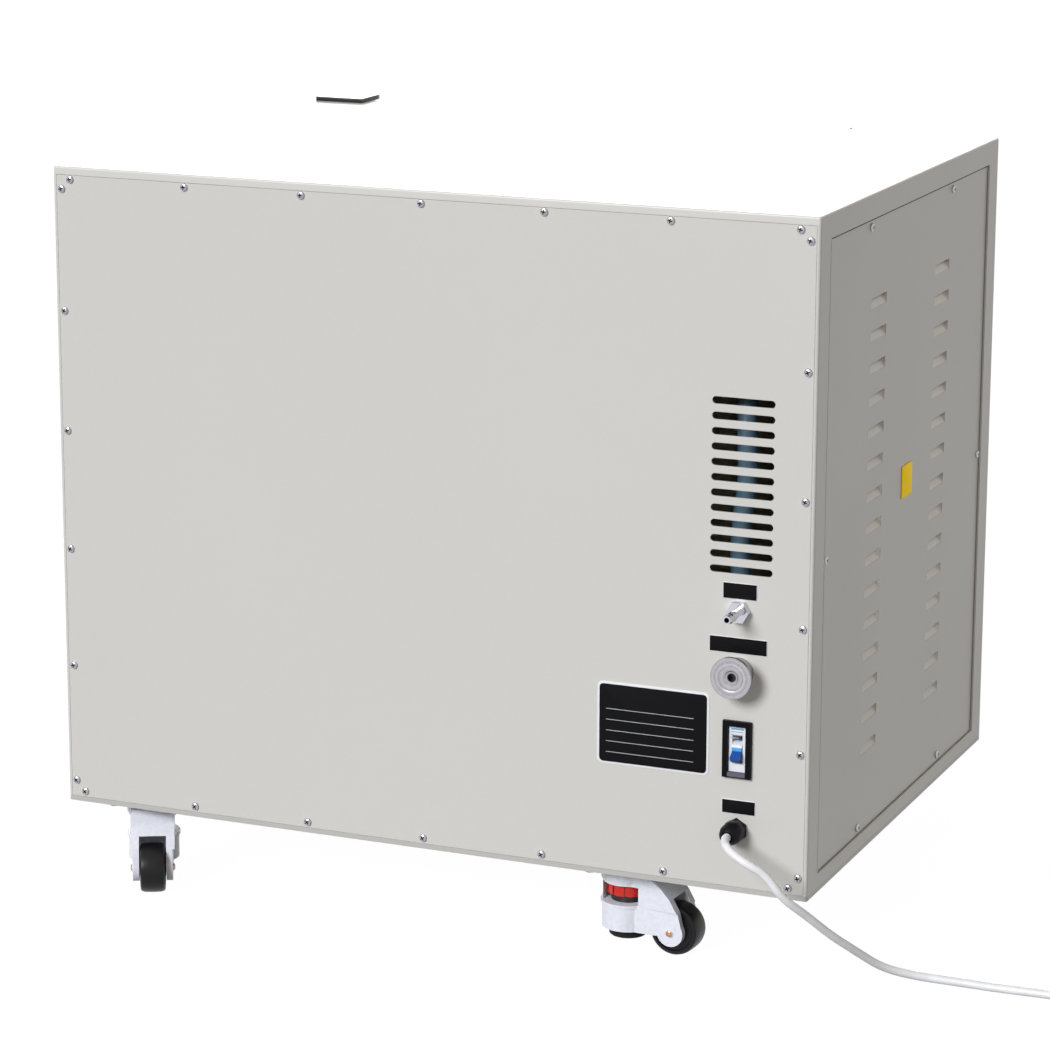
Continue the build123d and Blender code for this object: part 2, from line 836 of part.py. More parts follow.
# ---------------------------------------------------------------- vacuum gauge
gauge_front = panel_front - gauge_flange
needle_seat = 5            # dial face behind the lens
with BuildPart() as vacuum_gauge:
    with BuildSketch(front_plane(panel_front)):
        with Locations((instrument_x, gauge_z)):
            Circle(gauge_radius)
    extrude(amount=gauge_flange)
    chamfer(vacuum_gauge.faces().sort_by(Axis.Y)[0].edges(), 1.5)
    with BuildSketch(front_plane(panel_front)):
        with Locations((instrument_x, gauge_z)):
            Circle(gauge_radius - 3 - fit_gap)
    extrude(amount=-gauge_depth)
    with BuildSketch(front_plane(gauge_front)):
        with Locations((instrument_x, gauge_z)):
            Circle(dial_radius)
    extrude(amount=-(lens_thickness + needle_seat), mode=Mode.SUBTRACT)
    dial_y = gauge_front + lens_thickness + needle_seat
    with BuildSketch(front_plane(dial_y)):
        with Locations((instrument_x, gauge_z)):
            Circle(needle_stud_radius)
    extrude(amount=needle_seat - 1)
save(vacuum_gauge, "vacuum_gauge")

with BuildPart() as gauge_lens:
    with BuildSketch(front_plane(gauge_front + lens_thickness)):
        with Locations((instrument_x, gauge_z)):
            Circle(dial_radius - 0.1)
    extrude(amount=lens_thickness)
save(gauge_lens, "gauge_lens")

with BuildPart() as gauge_needle:
    with BuildSketch(front_plane(dial_y - 2)):
        with Locations((instrument_x, gauge_z)):
            Circle(4)
        with Locations(Location((instrument_x, gauge_z), needle_zero)):
            Polygon((-1.4, 8), (1.4, 8), (0.4, -needle_length), (-0.4, -needle_length), align=None)
        with Locations((instrument_x, gauge_z)):
            Circle(needle_stud_radius + shaft_gap, mode=Mode.SUBTRACT)
    extrude(amount=needle_thickness)
save(gauge_needle, "gauge_needle")

# ---------------------------------------------------------------- temperature controller and keys
key_z = controller_z - key_drop
controller_front = panel_front - controller_proud
key_names = ("key_set", "key_up", "key_down")
key_xs = [instrument_x + (i - 1) * key_pitch for i in range(len(key_names))]
with BuildPart() as temperature_controller:
    with BuildSketch(front_plane(panel_front)):
        with Locations((instrument_x, controller_z)):
            RectangleRounded(controller_face, controller_face, 3)
    extrude(amount=controller_proud)
    chamfer(temperature_controller.faces().sort_by(Axis.Y)[0].edges(), 1.5)
    with BuildSketch(front_plane(panel_front)):
        with Locations((instrument_x, controller_z)):
            Rectangle(controller_body, controller_body)
    extrude(amount=-controller_depth)
    with BuildSketch(front_plane(controller_front)):
        with Locations((instrument_x, controller_z + 10)):
            Rectangle(58, 40)
    extrude(amount=-1, mode=Mode.SUBTRACT)
    with BuildSketch(front_plane(controller_front)):
        with Locations(*[(x, key_z) for x in key_xs]):
            Rectangle(key_width + 2 * fit_gap, key_height + 2 * fit_gap)
    extrude(amount=-(key_thickness + key_travel), mode=Mode.SUBTRACT)
save(temperature_controller, "temperature_controller")

for name, x in zip(key_names, key_xs):
    with BuildPart() as key:
        block(
            (x - key_width / 2, controller_front - 1.3, key_z - key_height / 2),
            (x + key_width / 2, controller_front + key_thickness - 0.5, key_z + key_height / 2),
        )
        fillet(key.faces().sort_by(Axis.Y)[0].edges(), 0.8)
    save(key, name)

# ---------------------------------------------------------------- valves and knobs
with BuildPart() as valve_bodies:
    for z in (vacuum_valve_z, vent_valve_z):
        with BuildSketch(front_plane(front)):
            with Locations((instrument_x, z)):
                Circle(valve_radius)
        extrude(amount=-valve_length)
        with BuildSketch(front_plane(front)):
            with Locations((instrument_x, z)):
                Circle(valve_stem_radius)
        extrude(amount=valve_stem_length)
save(valve_bodies, "valve_bodies")

for name, z in (("vacuum_valve_knob", vacuum_valve_z), ("vent_valve_knob", vent_valve_z)):
    knob_back = panel_front - fit_gap
    with BuildPart() as knob:
        with BuildSketch(front_plane(knob_back)):
            with Locations((instrument_x, z)):
                Circle(knob_radius)
                with PolarLocations(knob_radius + 2, knob_flutes):
                    Circle(4, mode=Mode.SUBTRACT)
        extrude(amount=knob_height)
        chamfer(knob.faces().sort_by(Axis.Y)[0].edges(), knob_edge)
        with BuildSketch(front_plane(knob_back)):
            with Locations((instrument_x, z)):
                Circle(valve_stem_radius + shaft_gap)
        extrude(amount=valve_stem_length - control_thickness, mode=Mode.SUBTRACT)
    save(knob, name)

# ---------------------------------------------------------------- power switch
switch_front = panel_front - switch_rim
rocker_width = switch_width - 2 * 2
rocker_height = switch_height - 2 * 2
rocker_y = switch_front + 6
with BuildPart() as switch_housing:
    with BuildSketch(front_plane(panel_front)):
        with Locations((instrument_x, switch_z)):
            Rectangle(switch_width + 4, switch_height + 4)
    extrude(amount=switch_rim)
    chamfer(switch_housing.faces().sort_by(Axis.Y)[0].edges(), 1)
    with BuildSketch(front_plane(panel_front)):
        with Locations((instrument_x, switch_z)):
            Rectangle(switch_width, switch_height)
    extrude(amount=-switch_depth)
    with BuildSketch(front_plane(switch_front)):
        with Locations((instrument_x, switch_z)):
            Rectangle(rocker_width + 2 * fit_gap, rocker_height + 2 * fit_gap)
    extrude(amount=-18, mode=Mode.SUBTRACT)
    with BuildSketch(left_plane(instrument_x)):
        with Locations((-rocker_y, switch_z)):
            Circle(rocker_axle_radius + shaft_gap)
    extrude(amount=rocker_width / 2 + 1.5, both=True, mode=Mode.SUBTRACT)
save(switch_housing, "switch_housing")

with BuildPart() as power_switch:
    # the upper half stands out at rest and the lower half lies in
    half_rocker = rocker_height / 2 - 0.8
    tilt = radians(rocker_throw / 2)
    rocker_plane = Plane(
        origin=(instrument_x - rocker_width / 2, rocker_y, switch_z),
        x_dir=(0, -cos(tilt), -sin(tilt)),
        z_dir=(1, 0, 0),
    )
    with BuildSketch(rocker_plane):
        Polygon(
            (5, -half_rocker),
            (3.8, 0),
            (5, half_rocker),
            (-3, half_rocker - 2),
            (-4, 0),
            (-3, -half_rocker + 2),
            align=None,
        )
    extrude(amount=rocker_width)
    with BuildSketch(left_plane(instrument_x)):
        with Locations((-rocker_y, switch_z)):
            Circle(rocker_axle_radius)
    extrude(amount=rocker_width / 2 + 1.2, both=True)
save(power_switch, "power_switch")

# ---------------------------------------------------------------- rear fittings
vent_z = floor_z + vent_port_up
vacuum_z = floor_z + vacuum_port_up
breaker_z = floor_z + breaker_up
gland_z = floor_z + gland_up
with BuildPart() as vent_port:
    with BuildSketch(rear_plane(rear)):
        with Locations((-port_x, vent_z)):
            RegularPolygon(vent_hex / 2, 6, major_radius=False)
    extrude(amount=vent_hex_height)
    with BuildSketch(rear_plane(rear + vent_hex_height)):
        with Locations((-port_x, vent_z)):
            Circle(vent_tube_radius)
    extrude(amount=vent_tube_length)
    barb_start = rear + vent_hex_height + vent_tube_length
    for i in range(barb_count):
        barb_y = barb_start + i * barb_length
        with BuildSketch(rear_plane(barb_y)):
            with Locations((-port_x, vent_z)):
                Circle(barb_radius)
        extrude(amount=barb_land)
        with BuildSketch(rear_plane(barb_y + barb_land)):
            with Locations((-port_x, vent_z)):
                Circle(barb_radius)
        extrude(amount=barb_length - barb_land, taper=barb_taper)
    with BuildSketch(rear_plane(rear)):
        with Locations((-port_x, vent_z)):
            Circle(vent_tube_radius)
    extrude(amount=-12)
    with BuildSketch(rear_plane(rear - sheet)):
        with Locations((-port_x, vent_z)):
            RegularPolygon(vent_hex / 2, 6, major_radius=False)
    extrude(amount=-5)
    with BuildSketch(rear_plane(rear - 12)):
        with Locations((-port_x, vent_z)):
            Circle(vent_bore_radius)
    extrude(amount=12 + port_reach, mode=Mode.SUBTRACT)
save(vent_port, "vent_port")

elbow_low = vacuum_z - elbow_size / 2
elbow_front = rear - elbow_depth - elbow_size
with BuildPart() as vacuum_port:
    with BuildSketch(rear_plane(rear - elbow_depth)):
        with Locations((-port_x, vacuum_z)):
            Circle(port_tube_radius)
    extrude(amount=elbow_depth + vacuum_port_reach - flange_rim)
    with BuildSketch(rear_plane(rear + vacuum_port_reach)):
        with Locations((-port_x, vacuum_z)):
            Circle(flange_radius)
    extrude(amount=-flange_rim)
    with BuildSketch(rear_plane(rear + vacuum_port_reach - flange_rim)):
        with Locations((-port_x, vacuum_z)):
            Circle(flange_radius)
    extrude(amount=-5, taper=45)
    with BuildSketch(rear_plane(rear - sheet)):
        with Locations((-port_x, vacuum_z)):
            Circle(port_tube_radius + 5)
    extrude(amount=-4)
    block(
        (port_x - elbow_size / 2, elbow_front, elbow_low),
        (port_x + elbow_size / 2, rear - elbow_depth, elbow_low + elbow_size),
    )
    with BuildSketch(rear_plane(rear + vacuum_port_reach)):
        with Locations((-port_x, vacuum_z)):
            Circle(port_mouth_radius)
    extrude(amount=-port_mouth_depth, mode=Mode.SUBTRACT)
    with BuildSketch(rear_plane(rear + vacuum_port_reach - port_mouth_depth)):
        with Locations((-port_x, vacuum_z)):
            Circle(port_mouth_radius - 1)
    extrude(amount=-10, taper=24, mode=Mode.SUBTRACT)
    with BuildSketch(rear_plane(rear)):
        with Locations((-port_x, vacuum_z)):
            Circle(port_bore_radius)
    extrude(amount=vacuum_port_reach, mode=Mode.SUBTRACT)
save(vacuum_port, "vacuum_port")

with BuildPart() as breaker_bezel:
    with BuildSketch(rear_plane(rear)):
        with Locations((-port_x, breaker_z)):
            Rectangle(breaker_frame_width, breaker_frame_height)
    extrude(amount=bezel_proud)
    with BuildSketch(rear_plane(rear)):
        with Locations((-port_x, breaker_z)):
            Rectangle(breaker_face_width + 2 * fit_gap, breaker_face_height + 2 * fit_gap)
    extrude(amount=bezel_proud, mode=Mode.SUBTRACT)
    half_face = breaker_face_width / 2
    slope_plane = Plane(
        origin=(port_x, rear + bezel_proud, breaker_z - breaker_face_height / 2 - fit_gap),
        x_dir=(0, -1, 0),
        z_dir=(1, 0, 0),
    )
    with BuildSketch(slope_plane):
        with BuildLine():
            Polyline((0, fit_gap), (0, -bezel_slope), (bezel_proud - 0.6, fit_gap), close=True)
        make_face()
    extrude(amount=half_face, both=True, mode=Mode.SUBTRACT)
save(breaker_bezel, "breaker_bezel")

toggle_y = rear - 4
breaker_face_y = rear + 1
with BuildPart() as breaker_body:
    block(
        (port_x - breaker_width / 2, rear - breaker_depth, breaker_z - breaker_height / 2),
        (port_x + breaker_width / 2, rear - sheet - fit_gap, breaker_z + breaker_height / 2),
    )
    block(
        (port_x - breaker_face_width / 2, rear - breaker_depth, breaker_z - breaker_face_height / 2),
        (port_x + breaker_face_width / 2, breaker_face_y, breaker_z + breaker_face_height / 2),
    )
    half_toggle = toggle_width / 2 + fit_gap
    block(
        (port_x - half_toggle, toggle_y - 16, breaker_z - 14),
        (port_x + half_toggle, breaker_face_y, breaker_z + 14),
        Mode.SUBTRACT,
    )
    with BuildSketch(left_plane(port_x)):
        with Locations((-toggle_y, breaker_z)):
            Circle(toggle_axle_radius + shaft_gap)
    extrude(amount=half_toggle + 1.5, both=True, mode=Mode.SUBTRACT)
save(breaker_body, "breaker_body")

with BuildPart() as breaker_toggle:
    with BuildSketch(left_plane(port_x)):
        with Locations((-toggle_y, breaker_z)):
            Circle(toggle_drum_radius)
            with Locations(Location((0, 0), 180 + toggle_angle)):
                with Locations((toggle_paddle / 2, 0)):
                    Rectangle(toggle_paddle, toggle_paddle_thickness)
    extrude(amount=toggle_width / 2, both=True)
    with BuildSketch(left_plane(port_x)):
        with Locations((-toggle_y, breaker_z)):
            Circle(toggle_axle_radius)
    extrude(amount=toggle_width / 2 + fit_gap + 1.2, both=True)
save(breaker_toggle, "breaker_toggle")

with BuildPart() as cable_gland:
    with BuildSketch(rear_plane(rear)):
        with Locations((-port_x, gland_z)):
            RegularPolygon(gland_radius, 8)
    extrude(amount=5)
    with BuildSketch(rear_plane(rear + 5)):
        with Locations((-port_x, gland_z)):
            Circle(gland_radius - 1)
    extrude(amount=gland_reach - gland_dome - 5)
    with BuildSketch(rear_plane(rear + gland_reach - gland_dome)):
        with Locations((-port_x, gland_z)):
            Circle(gland_radius - 1)
    extrude(amount=gland_dome, taper=gland_taper)
    with BuildSketch(rear_plane(rear)):
        with Locations((-port_x, gland_z)):
            Circle(gland_thread_radius)
    extrude(amount=-14)
    with BuildSketch(rear_plane(rear - sheet)):
        with Locations((-port_x, gland_z)):
            RegularPolygon(gland_radius, 6)
    extrude(amount=-5)
save(cable_gland, "cable_gland")

# ---------------------------------------------------------------- cord, coil, plug and hose


def smooth_route(points, diameter, label):
    """Straight runs joined by arcs that are as large as their two runs allow."""
    corners = [Vector(*p) for p in points]
    runs = [b - a for a, b in zip(corners, corners[1:])]
    radii = []
    for before, after in zip(runs, runs[1:]):
        turn = radians(before.get_angle(after))
        radii.append(0.45 * min(before.length, after.length) / tan(turn / 2))
    print(label, "radii in diameters:", [round(r / diameter, 1) for r in radii])
    return radii


cord_points = [
    (port_x, rear + gland_reach, gland_z),
    (port_x, rear + 39, gland_z),
    (port_x - 12, rear + 50, gland_z - 4),
    (port_x - 29, rear + 54, gland_z - 13),
    (port_x - 46, rear + 54, gland_z - 27),
    (port_x - 64, rear + 47, gland_z - 44),
    (port_x - 83, rear + 33, gland_z - 67),
    (port_x - 102, rear + 10, gland_z - 93),
    (port_x - 120, rear - 17, gland_z - 117),
    (port_x - 139, rear - 41, 15),
    (port_x - 164, rear - 57, 6),
    (port_x - 200, rear - 64, 4.3),
    (port_x - 242, rear - 62, 4.1),
    (port_x - 284, rear - 66, 4.2),
    (port_x - 326, rear - 65, 4.1),
    (port_x - 360, rear - 66.5, 4.1),
]
coil_x = port_x - 378
coil_y = rear - 118
coil_inner = 32
coil_outer = 56
coil_height = 16
with BuildPart() as power_cord:
    with BuildLine() as cord_line:
        FilletPolyline(*cord_points, radius=smooth_route(cord_points, 2 * cord_radius, "cord"))
    with BuildSketch(Plane(origin=cord_line.line @ 0, z_dir=cord_line.line % 0)):
        Circle(cord_radius)
    sweep(path=cord_line.line)
save(power_cord, "power_cord")
cord_length = cord_line.wire().length
cord_section = pi * cord_radius**2
print("cord length", round(cord_length, 1))
print("cord volume over section times length", round(power_cord.part.volume / cord_section / cord_length, 4))

with BuildPart() as cord_coil:
    with BuildSketch(Plane.XY):
        with Locations((coil_x, coil_y)):
            Circle(coil_outer)
            Circle(coil_inner, mode=Mode.SUBTRACT)
    extrude(amount=coil_height)
save(cord_coil, "cord_coil")

# the plug lies on the coil with its blades pointing away from the oven
plug_y = coil_y + (coil_inner + coil_outer) / 2
plug_front = coil_x - 38
plug_back = coil_x - 4
plug_mid_z = coil_height + plug_height / 2
with BuildPart() as power_plug:
    block(
        (plug_front, plug_y - plug_width / 2, coil_height),
        (plug_back, plug_y + plug_width / 2, coil_height + plug_height),
    )
    chamfer(power_plug.edges().filter_by(Axis.X), 5)
    chamfer(power_plug.faces().sort_by(Axis.X)[-1].edges(), 3)
    with BuildSketch(Plane(origin=(plug_back - 1, plug_y, plug_mid_z), z_dir=(1, 0, 0))):
        Circle(boot_radius)
    extrude(amount=boot_length + 1, taper=boot_taper)
    for y in (plug_y - blade_spacing / 2, plug_y + blade_spacing / 2):
        block(
            (plug_front - blade_length, y - blade_thickness / 2, coil_height + 4),
            (plug_front + 1, y + blade_thickness / 2, coil_height + 4 + blade_height),
        )
    with BuildSketch(Plane(origin=(plug_front + 1, plug_y, coil_height + 16), z_dir=(-1, 0, 0))):
        Circle(earth_pin_radius)
    extrude(amount=blade_length + 1)
save(power_plug, "power_plug")

hose_points = [
    (port_x, rear - elbow_depth - elbow_size / 2, elbow_low + elbow_size),
    (port_x, rear - elbow_depth - elbow_size / 2, 340),
    (port_x + 13, rear - 36, 380),
    (port_x + 14, rear - 36, 425),
    (port_x + 7, rear - 38, 475),
    (port_x + 11, rear - 42, 525),
    (port_x + 17, rear - 62, 580),
    (port_x + 20, rear - 120, 622),
    (port_x + 20, rear - 220, 630),
    (port_x + 16, rear - 320, 590),
    (port_x + 10, rear - 400, 520),
    (instrument_x, rear - 450, 455),
    (instrument_x, front + valve_length + 40, vacuum_valve_z),
    (instrument_x, front + valve_length, vacuum_valve_z),
]
with BuildPart() as vacuum_hose:
    with BuildLine() as hose_line:
        FilletPolyline(*hose_points, radius=smooth_route(hose_points, 2 * hose_radius, "hose"))
    with BuildSketch(Plane(origin=hose_line.line @ 0, z_dir=hose_line.line % 0)):
        Circle(hose_radius)
    sweep(path=hose_line.line)
save(vacuum_hose, "vacuum_hose")

# ---------------------------------------------------------------- levelling casters
plate_bottom = caster_height - caster_plate_thickness
race_bottom = plate_bottom - 3
housing_top = race_bottom - fit_gap
roof_bottom = 73
web_bottom = 43
head_bottom = 70
cavity_radius = housing_radius - housing_wall
with BuildPart() as caster_plates:
    for place in caster_places.values():
        with BuildSketch(Plane.XY.offset(plate_bottom)):
            with Locations(place):
                RectangleRounded(caster_plate, caster_plate, 8)
                with GridLocations(caster_bolt_pitch, caster_bolt_pitch, 2, 2):
                    Circle(caster_bolt_radius, mode=Mode.SUBTRACT)
        extrude(amount=caster_plate_thickness)
        for radius, low in ((22, race_bottom), (8, head_bottom)):
            with BuildSketch(Plane.XY.offset(low)):
                with Locations(place):
                    Circle(radius)
            extrude(amount=plate_bottom - low)
        with BuildSketch(Plane.XY.offset(head_bottom)):
            with Locations(place):
                Circle(10)
        extrude(amount=roof_bottom - fit_gap - head_bottom)
save(caster_plates, "caster_plates")


def caster(name, place, angle):
    """One levelling caster's bracket, wheel, red levelling wheel and foot."""
    trail = Vector(cos(radians(angle)), sin(radians(angle)), 0)
    across = Vector(-trail.Y, trail.X, 0)
    middle = Vector(place[0], place[1], 0)
    upright = Plane(origin=middle, x_dir=trail, z_dir=(0, 0, 1))
    # a plane across the axle: x along the trail, y up
    beside = Plane(origin=middle, x_dir=trail, z_dir=-across)

    with BuildPart() as bracket:
        rings = (
            (housing_bottom, band_top - band_lip, housing_radius + 0.6),
            (band_top - band_lip, band_top, housing_radius + 2),
            (band_top, window_top + 3, housing_radius),
            (window_top + 3, housing_top, housing_radius + 1.5),
        )
        for low, high, radius in rings:
            with BuildSketch(upright.offset(low)):
                Circle(radius)
            extrude(amount=high - low)
        # arms: a swept cheek with a round axle boss
        with BuildSketch(beside):
            with BuildLine():
                Polyline(
                    (0, housing_bottom),
                    (housing_radius + 4, housing_bottom),
                    (wheel_offset, wheel_radius - 4),
                    (wheel_offset + 12, wheel_radius + 6),
                    (wheel_offset + 8, 46),
                    (wheel_offset + 1, 58),
                    (wheel_offset - 8, 68),
                    (wheel_offset - 22, housing_top),
                    (0, housing_top),
                    close=True,
                )
            make_face()
            with Locations((wheel_offset, wheel_radius)):
                Circle(boss_radius)
        extrude(amount=wheel_width / 2 + arm_thickness, both=True)
        # thicker shoulder above the boss
        with BuildSketch(beside):
            with BuildLine():
                Polyline(
                    (0, shoulder_low + 5),
                    (housing_radius + 2, shoulder_low + 1),
                    (wheel_offset + 8, shoulder_low),
                    (wheel_offset + 1, 58),
                    (wheel_offset - 8, 68),
                    (wheel_offset - 20, housing_top - 2),
                    (0, housing_top - 2),
                    close=True,
                )
            make_face()
        extrude(amount=wheel_width / 2 + shoulder_thickness, both=True)
        with BuildSketch(beside):
            with BuildLine():
                Polyline(
                    (housing_radius - 2, -1),
                    (housing_radius - 2, fork_top),
                    (wheel_offset + 40, fork_top),
                    (wheel_offset + 40, -1),
                    close=True,
                )
            make_face()
            with Locations((wheel_offset, wheel_radius)):
                Circle(wheel_radius + 1.5)
        extrude(amount=wheel_width / 2 + 0.6, both=True, mode=Mode.SUBTRACT)
        with BuildSketch(upright.offset(housing_bottom)):
            Circle(cavity_radius)
        extrude(amount=web_bottom - housing_bottom, mode=Mode.SUBTRACT)
        with BuildSketch(upright.offset(band_top)):
            Circle(cavity_radius)
        extrude(amount=roof_bottom - band_top, mode=Mode.SUBTRACT)
        with BuildSketch(upright.offset(band_top)):
            Rectangle(window_width, 4 * housing_radius)
        extrude(amount=window_top - band_top, mode=Mode.SUBTRACT)
        with BuildSketch(upright.offset(web_bottom)):
            Circle(stem_radius + shaft_gap)
        extrude(amount=band_top - web_bottom, mode=Mode.SUBTRACT)
        with BuildSketch(upright.offset(roof_bottom)):
            Circle(8 + shaft_gap)
        extrude(amount=housing_top - roof_bottom, mode=Mode.SUBTRACT)
        with BuildSketch(beside):
            with Locations((wheel_offset, wheel_radius)):
                Circle(axle_radius)
        extrude(amount=wheel_width / 2 + arm_thickness + 1, both=True)
    save(bracket, f"caster_bracket_{name}")

    with BuildPart() as wheel:
        with BuildSketch(beside):
            with Locations((wheel_offset, wheel_radius)):
                Circle(wheel_radius)
        extrude(amount=wheel_width / 2, both=True)
        chamfer(wheel.edges(), 2.5)
        with BuildSketch(beside):
            with Locations((wheel_offset, wheel_radius)):
                Circle(axle_radius + shaft_gap)
        extrude(amount=wheel_width, both=True, mode=Mode.SUBTRACT)
    save(wheel, f"caster_wheel_{name}")

    with BuildPart() as level_wheel:
        with BuildSketch(upright.offset(band_top + fit_gap)):
            Circle(level_wheel_hub_radius)
            Circle(stem_radius + shaft_gap, mode=Mode.SUBTRACT)
        extrude(amount=level_wheel_low - band_top - fit_gap)
        with BuildSketch(upright.offset(level_wheel_low)):
            Circle(level_wheel_radius)
            with PolarLocations(level_wheel_radius, 10):
                Rectangle(3, 4, mode=Mode.SUBTRACT)
            Circle(stem_radius + shaft_gap, mode=Mode.SUBTRACT)
        extrude(amount=level_wheel_high - level_wheel_low)
    save(level_wheel, f"level_wheel_{name}")

    with BuildPart() as foot:
        with BuildSketch(upright.offset(foot_clearance)):
            Circle(foot_radius)
        extrude(amount=foot_pad)
        chamfer(foot.faces().sort_by(Axis.Z)[0].edges(), 1.2)
        with BuildSketch(upright.offset(foot_clearance + foot_pad)):
            Circle(foot_radius - 2)
        extrude(amount=foot_flange)
        with BuildSketch(upright.offset(foot_clearance + foot_pad)):
            Circle(stem_radius)
        extrude(amount=stem_top - foot_clearance - foot_pad)
    save(foot, f"level_foot_{name}")


for name, place in caster_places.items():
    caster(name, place, caster_angles[name])
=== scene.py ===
"""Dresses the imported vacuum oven: the finishes of its sheet metal, castings and fittings,
and the small pieces that its solids leave out, such as screw heads, plates, dial and cord."""
import json
from math import cos, radians, sin, tau

import bmesh
import bpy
from bpy.props import FloatProperty, FloatVectorProperty, IntProperty, PointerProperty
from mathutils import Matrix, Vector


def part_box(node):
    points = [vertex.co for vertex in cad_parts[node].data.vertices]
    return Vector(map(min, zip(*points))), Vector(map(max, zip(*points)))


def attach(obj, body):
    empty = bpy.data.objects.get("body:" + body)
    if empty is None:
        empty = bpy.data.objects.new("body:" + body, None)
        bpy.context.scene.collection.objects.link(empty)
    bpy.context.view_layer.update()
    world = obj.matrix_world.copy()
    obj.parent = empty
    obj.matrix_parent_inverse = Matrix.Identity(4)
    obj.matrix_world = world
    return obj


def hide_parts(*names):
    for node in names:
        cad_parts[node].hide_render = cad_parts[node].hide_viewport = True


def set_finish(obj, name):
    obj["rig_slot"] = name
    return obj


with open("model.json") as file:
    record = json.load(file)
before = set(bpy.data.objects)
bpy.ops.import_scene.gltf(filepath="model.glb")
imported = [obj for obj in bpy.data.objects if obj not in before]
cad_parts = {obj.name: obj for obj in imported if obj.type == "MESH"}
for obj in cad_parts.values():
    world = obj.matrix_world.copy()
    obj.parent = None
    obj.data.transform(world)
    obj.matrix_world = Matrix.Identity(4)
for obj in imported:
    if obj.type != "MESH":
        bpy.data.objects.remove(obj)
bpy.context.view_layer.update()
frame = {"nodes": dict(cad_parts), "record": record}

bl_info = {
    "name": "Vacuum Oven Dressing",
    "version": (1, 0, 0),
    "blender": (4, 5, 0),
    "location": "View3D > Sidebar > Oven",
    "description": "Finishes and small pieces of a floor-standing vacuum oven",
    "category": "Object",
}

MM = 0.001
SMALL = 1e-6
UP = Vector((0, 0, 1))
REAR = Vector((0, 1, 0))
FRONT = Vector((0, -1, 0))
LEFT = Vector((-1, 0, 0))
RIGHT = Vector((1, 0, 0))


def linear(red, green, blue):
    """A display colour, 0 to 255, as the linear colour that a shader takes."""
    def one(value):
        value /= 255
        return value / 12.92 if value <= 0.04045 else ((value + 0.055) / 1.055) ** 2.4
    return one(red), one(green), one(blue)


def middle(node):
    """The centre of a CAD node's box."""
    low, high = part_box(node)
    return (low + high) / 2


cabinet_low, cabinet_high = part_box("cabinet_shell")
rear_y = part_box("rear_panel")[1].y
side_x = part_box("left_side_panel")[0].x
panel_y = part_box("control_panel")[0].y
port_x = middle("vent_port").x
instrument_x = middle("vacuum_gauge").x


# ---------------------------------------------------------------- sizes and colours
def length(name, description, default):
    """A length setting in metres."""
    return FloatProperty(
        name=name, description=description, default=default, unit="LENGTH", precision=4
    )


def colour(name, description, *default):
    """A colour setting, given as a display colour."""
    return FloatVectorProperty(
        name=name, description=description, default=linear(*default), subtype="COLOR", min=0, max=1
    )


class OvenSizes(bpy.types.PropertyGroup):
    """Sizes of the pieces that the solids leave out."""
    recess: length("Screw recess", "Width across the cross recess of a panel screw", 4.4 * MM)
    plate_edge: length("Plate edge", "White edge of the small rear plates", 0.5 * MM)
    plate_thickness: length("Plate thickness", "Thickness of the rear plates", 0.5 * MM)
    rating_width: length("Rating plate width", "Width of the large rear plate", 112.2 * MM)
    rating_height: length("Rating plate height", "Height of the large rear plate", 80.5 * MM)
    rating_edge: length("Rating plate edge", "White edge of the large rear plate", 2.2 * MM)
    yellow_size: length("Side plate size", "Side of the square plate on the louvred panel", 33 * MM)
    cord_length: length("Cord length", "Length of the mains cord from gland to plug", 1.86)
    cord_radius: length("Cord radius", "Radius of the mains cord", 4 * MM)
    dial_numbers: IntProperty(
        name="Dial numbers", description="Numbers round the dial", default=6, min=2
    )
    lens: FloatProperty(name="Lens", description="Focal length", default=129.03, unit="CAMERA")


class OvenColours(bpy.types.PropertyGroup):
    """Colours of the finishes."""
    casing: colour("Casing", "Baked enamel of the cabinet", 213, 211, 205)
    door: colour("Door", "Baked enamel of the door", 213, 211, 205)
    panel: colour("Instrument panel", "Enamel behind the instruments", 74, 79, 88)
    plate: colour("Plate", "Black of the rear plates", 12, 12, 14)
    yellow: colour("Side plate", "Yellow of the side plate", 255, 214, 10)
    cord: colour("Cord", "White sheath of the mains cord", 242, 242, 244)
    hose: colour("Hose", "Vacuum hose", 112, 146, 168)
    casting: colour("Casting", "Silver-white paint of the caster brackets", 236, 238, 246)
    leveller: colour("Levelling wheel", "Red moulding of the levelling wheels", 206, 30, 16)
    toggle: colour("Toggle", "Blue moulding of the breaker's toggle", 10, 80, 162)
    seal: colour("Seal", "Silicone seal of the door", 176, 72, 44)


# ---------------------------------------------------------------- shaders
class Value:
    """A shader socket that takes part in maths. Each operator adds a Math node."""

    def __init__(self, finish, socket):
        self.finish = finish
        self.socket = socket

    def maths(self, operation, *terms):
        return self.finish.node("ShaderNodeMath", {"operation": operation}, dict(enumerate(terms)))

    def __add__(self, other):
        return self.maths("ADD", self, other)

    def __sub__(self, other):
        return self.maths("SUBTRACT", self, other)

    def __rsub__(self, other):
        return self.maths("SUBTRACT", other, self)

    def __mul__(self, other):
        return self.maths("MULTIPLY", self, other)

    __radd__ = __add__
    __rmul__ = __mul__

    def __abs__(self):
        return self.maths("ABSOLUTE", self)

    def root(self):
        return self.maths("SQRT", self)

    def wave(self, pitch):
        """Rises and falls smoothly between 0 and 1 once in each pitch."""
        return self.maths("SINE", self * (tau / pitch)) * 0.5 + 0.5

    def step(self, low, high):
        """Goes smoothly from 0 at low to 1 at high."""
        return self.finish.node(
            "ShaderNodeMapRange",
            {"interpolation_type": "SMOOTHSTEP"},
            {"Value": self, "From Min": low, "From Max": high},
        )


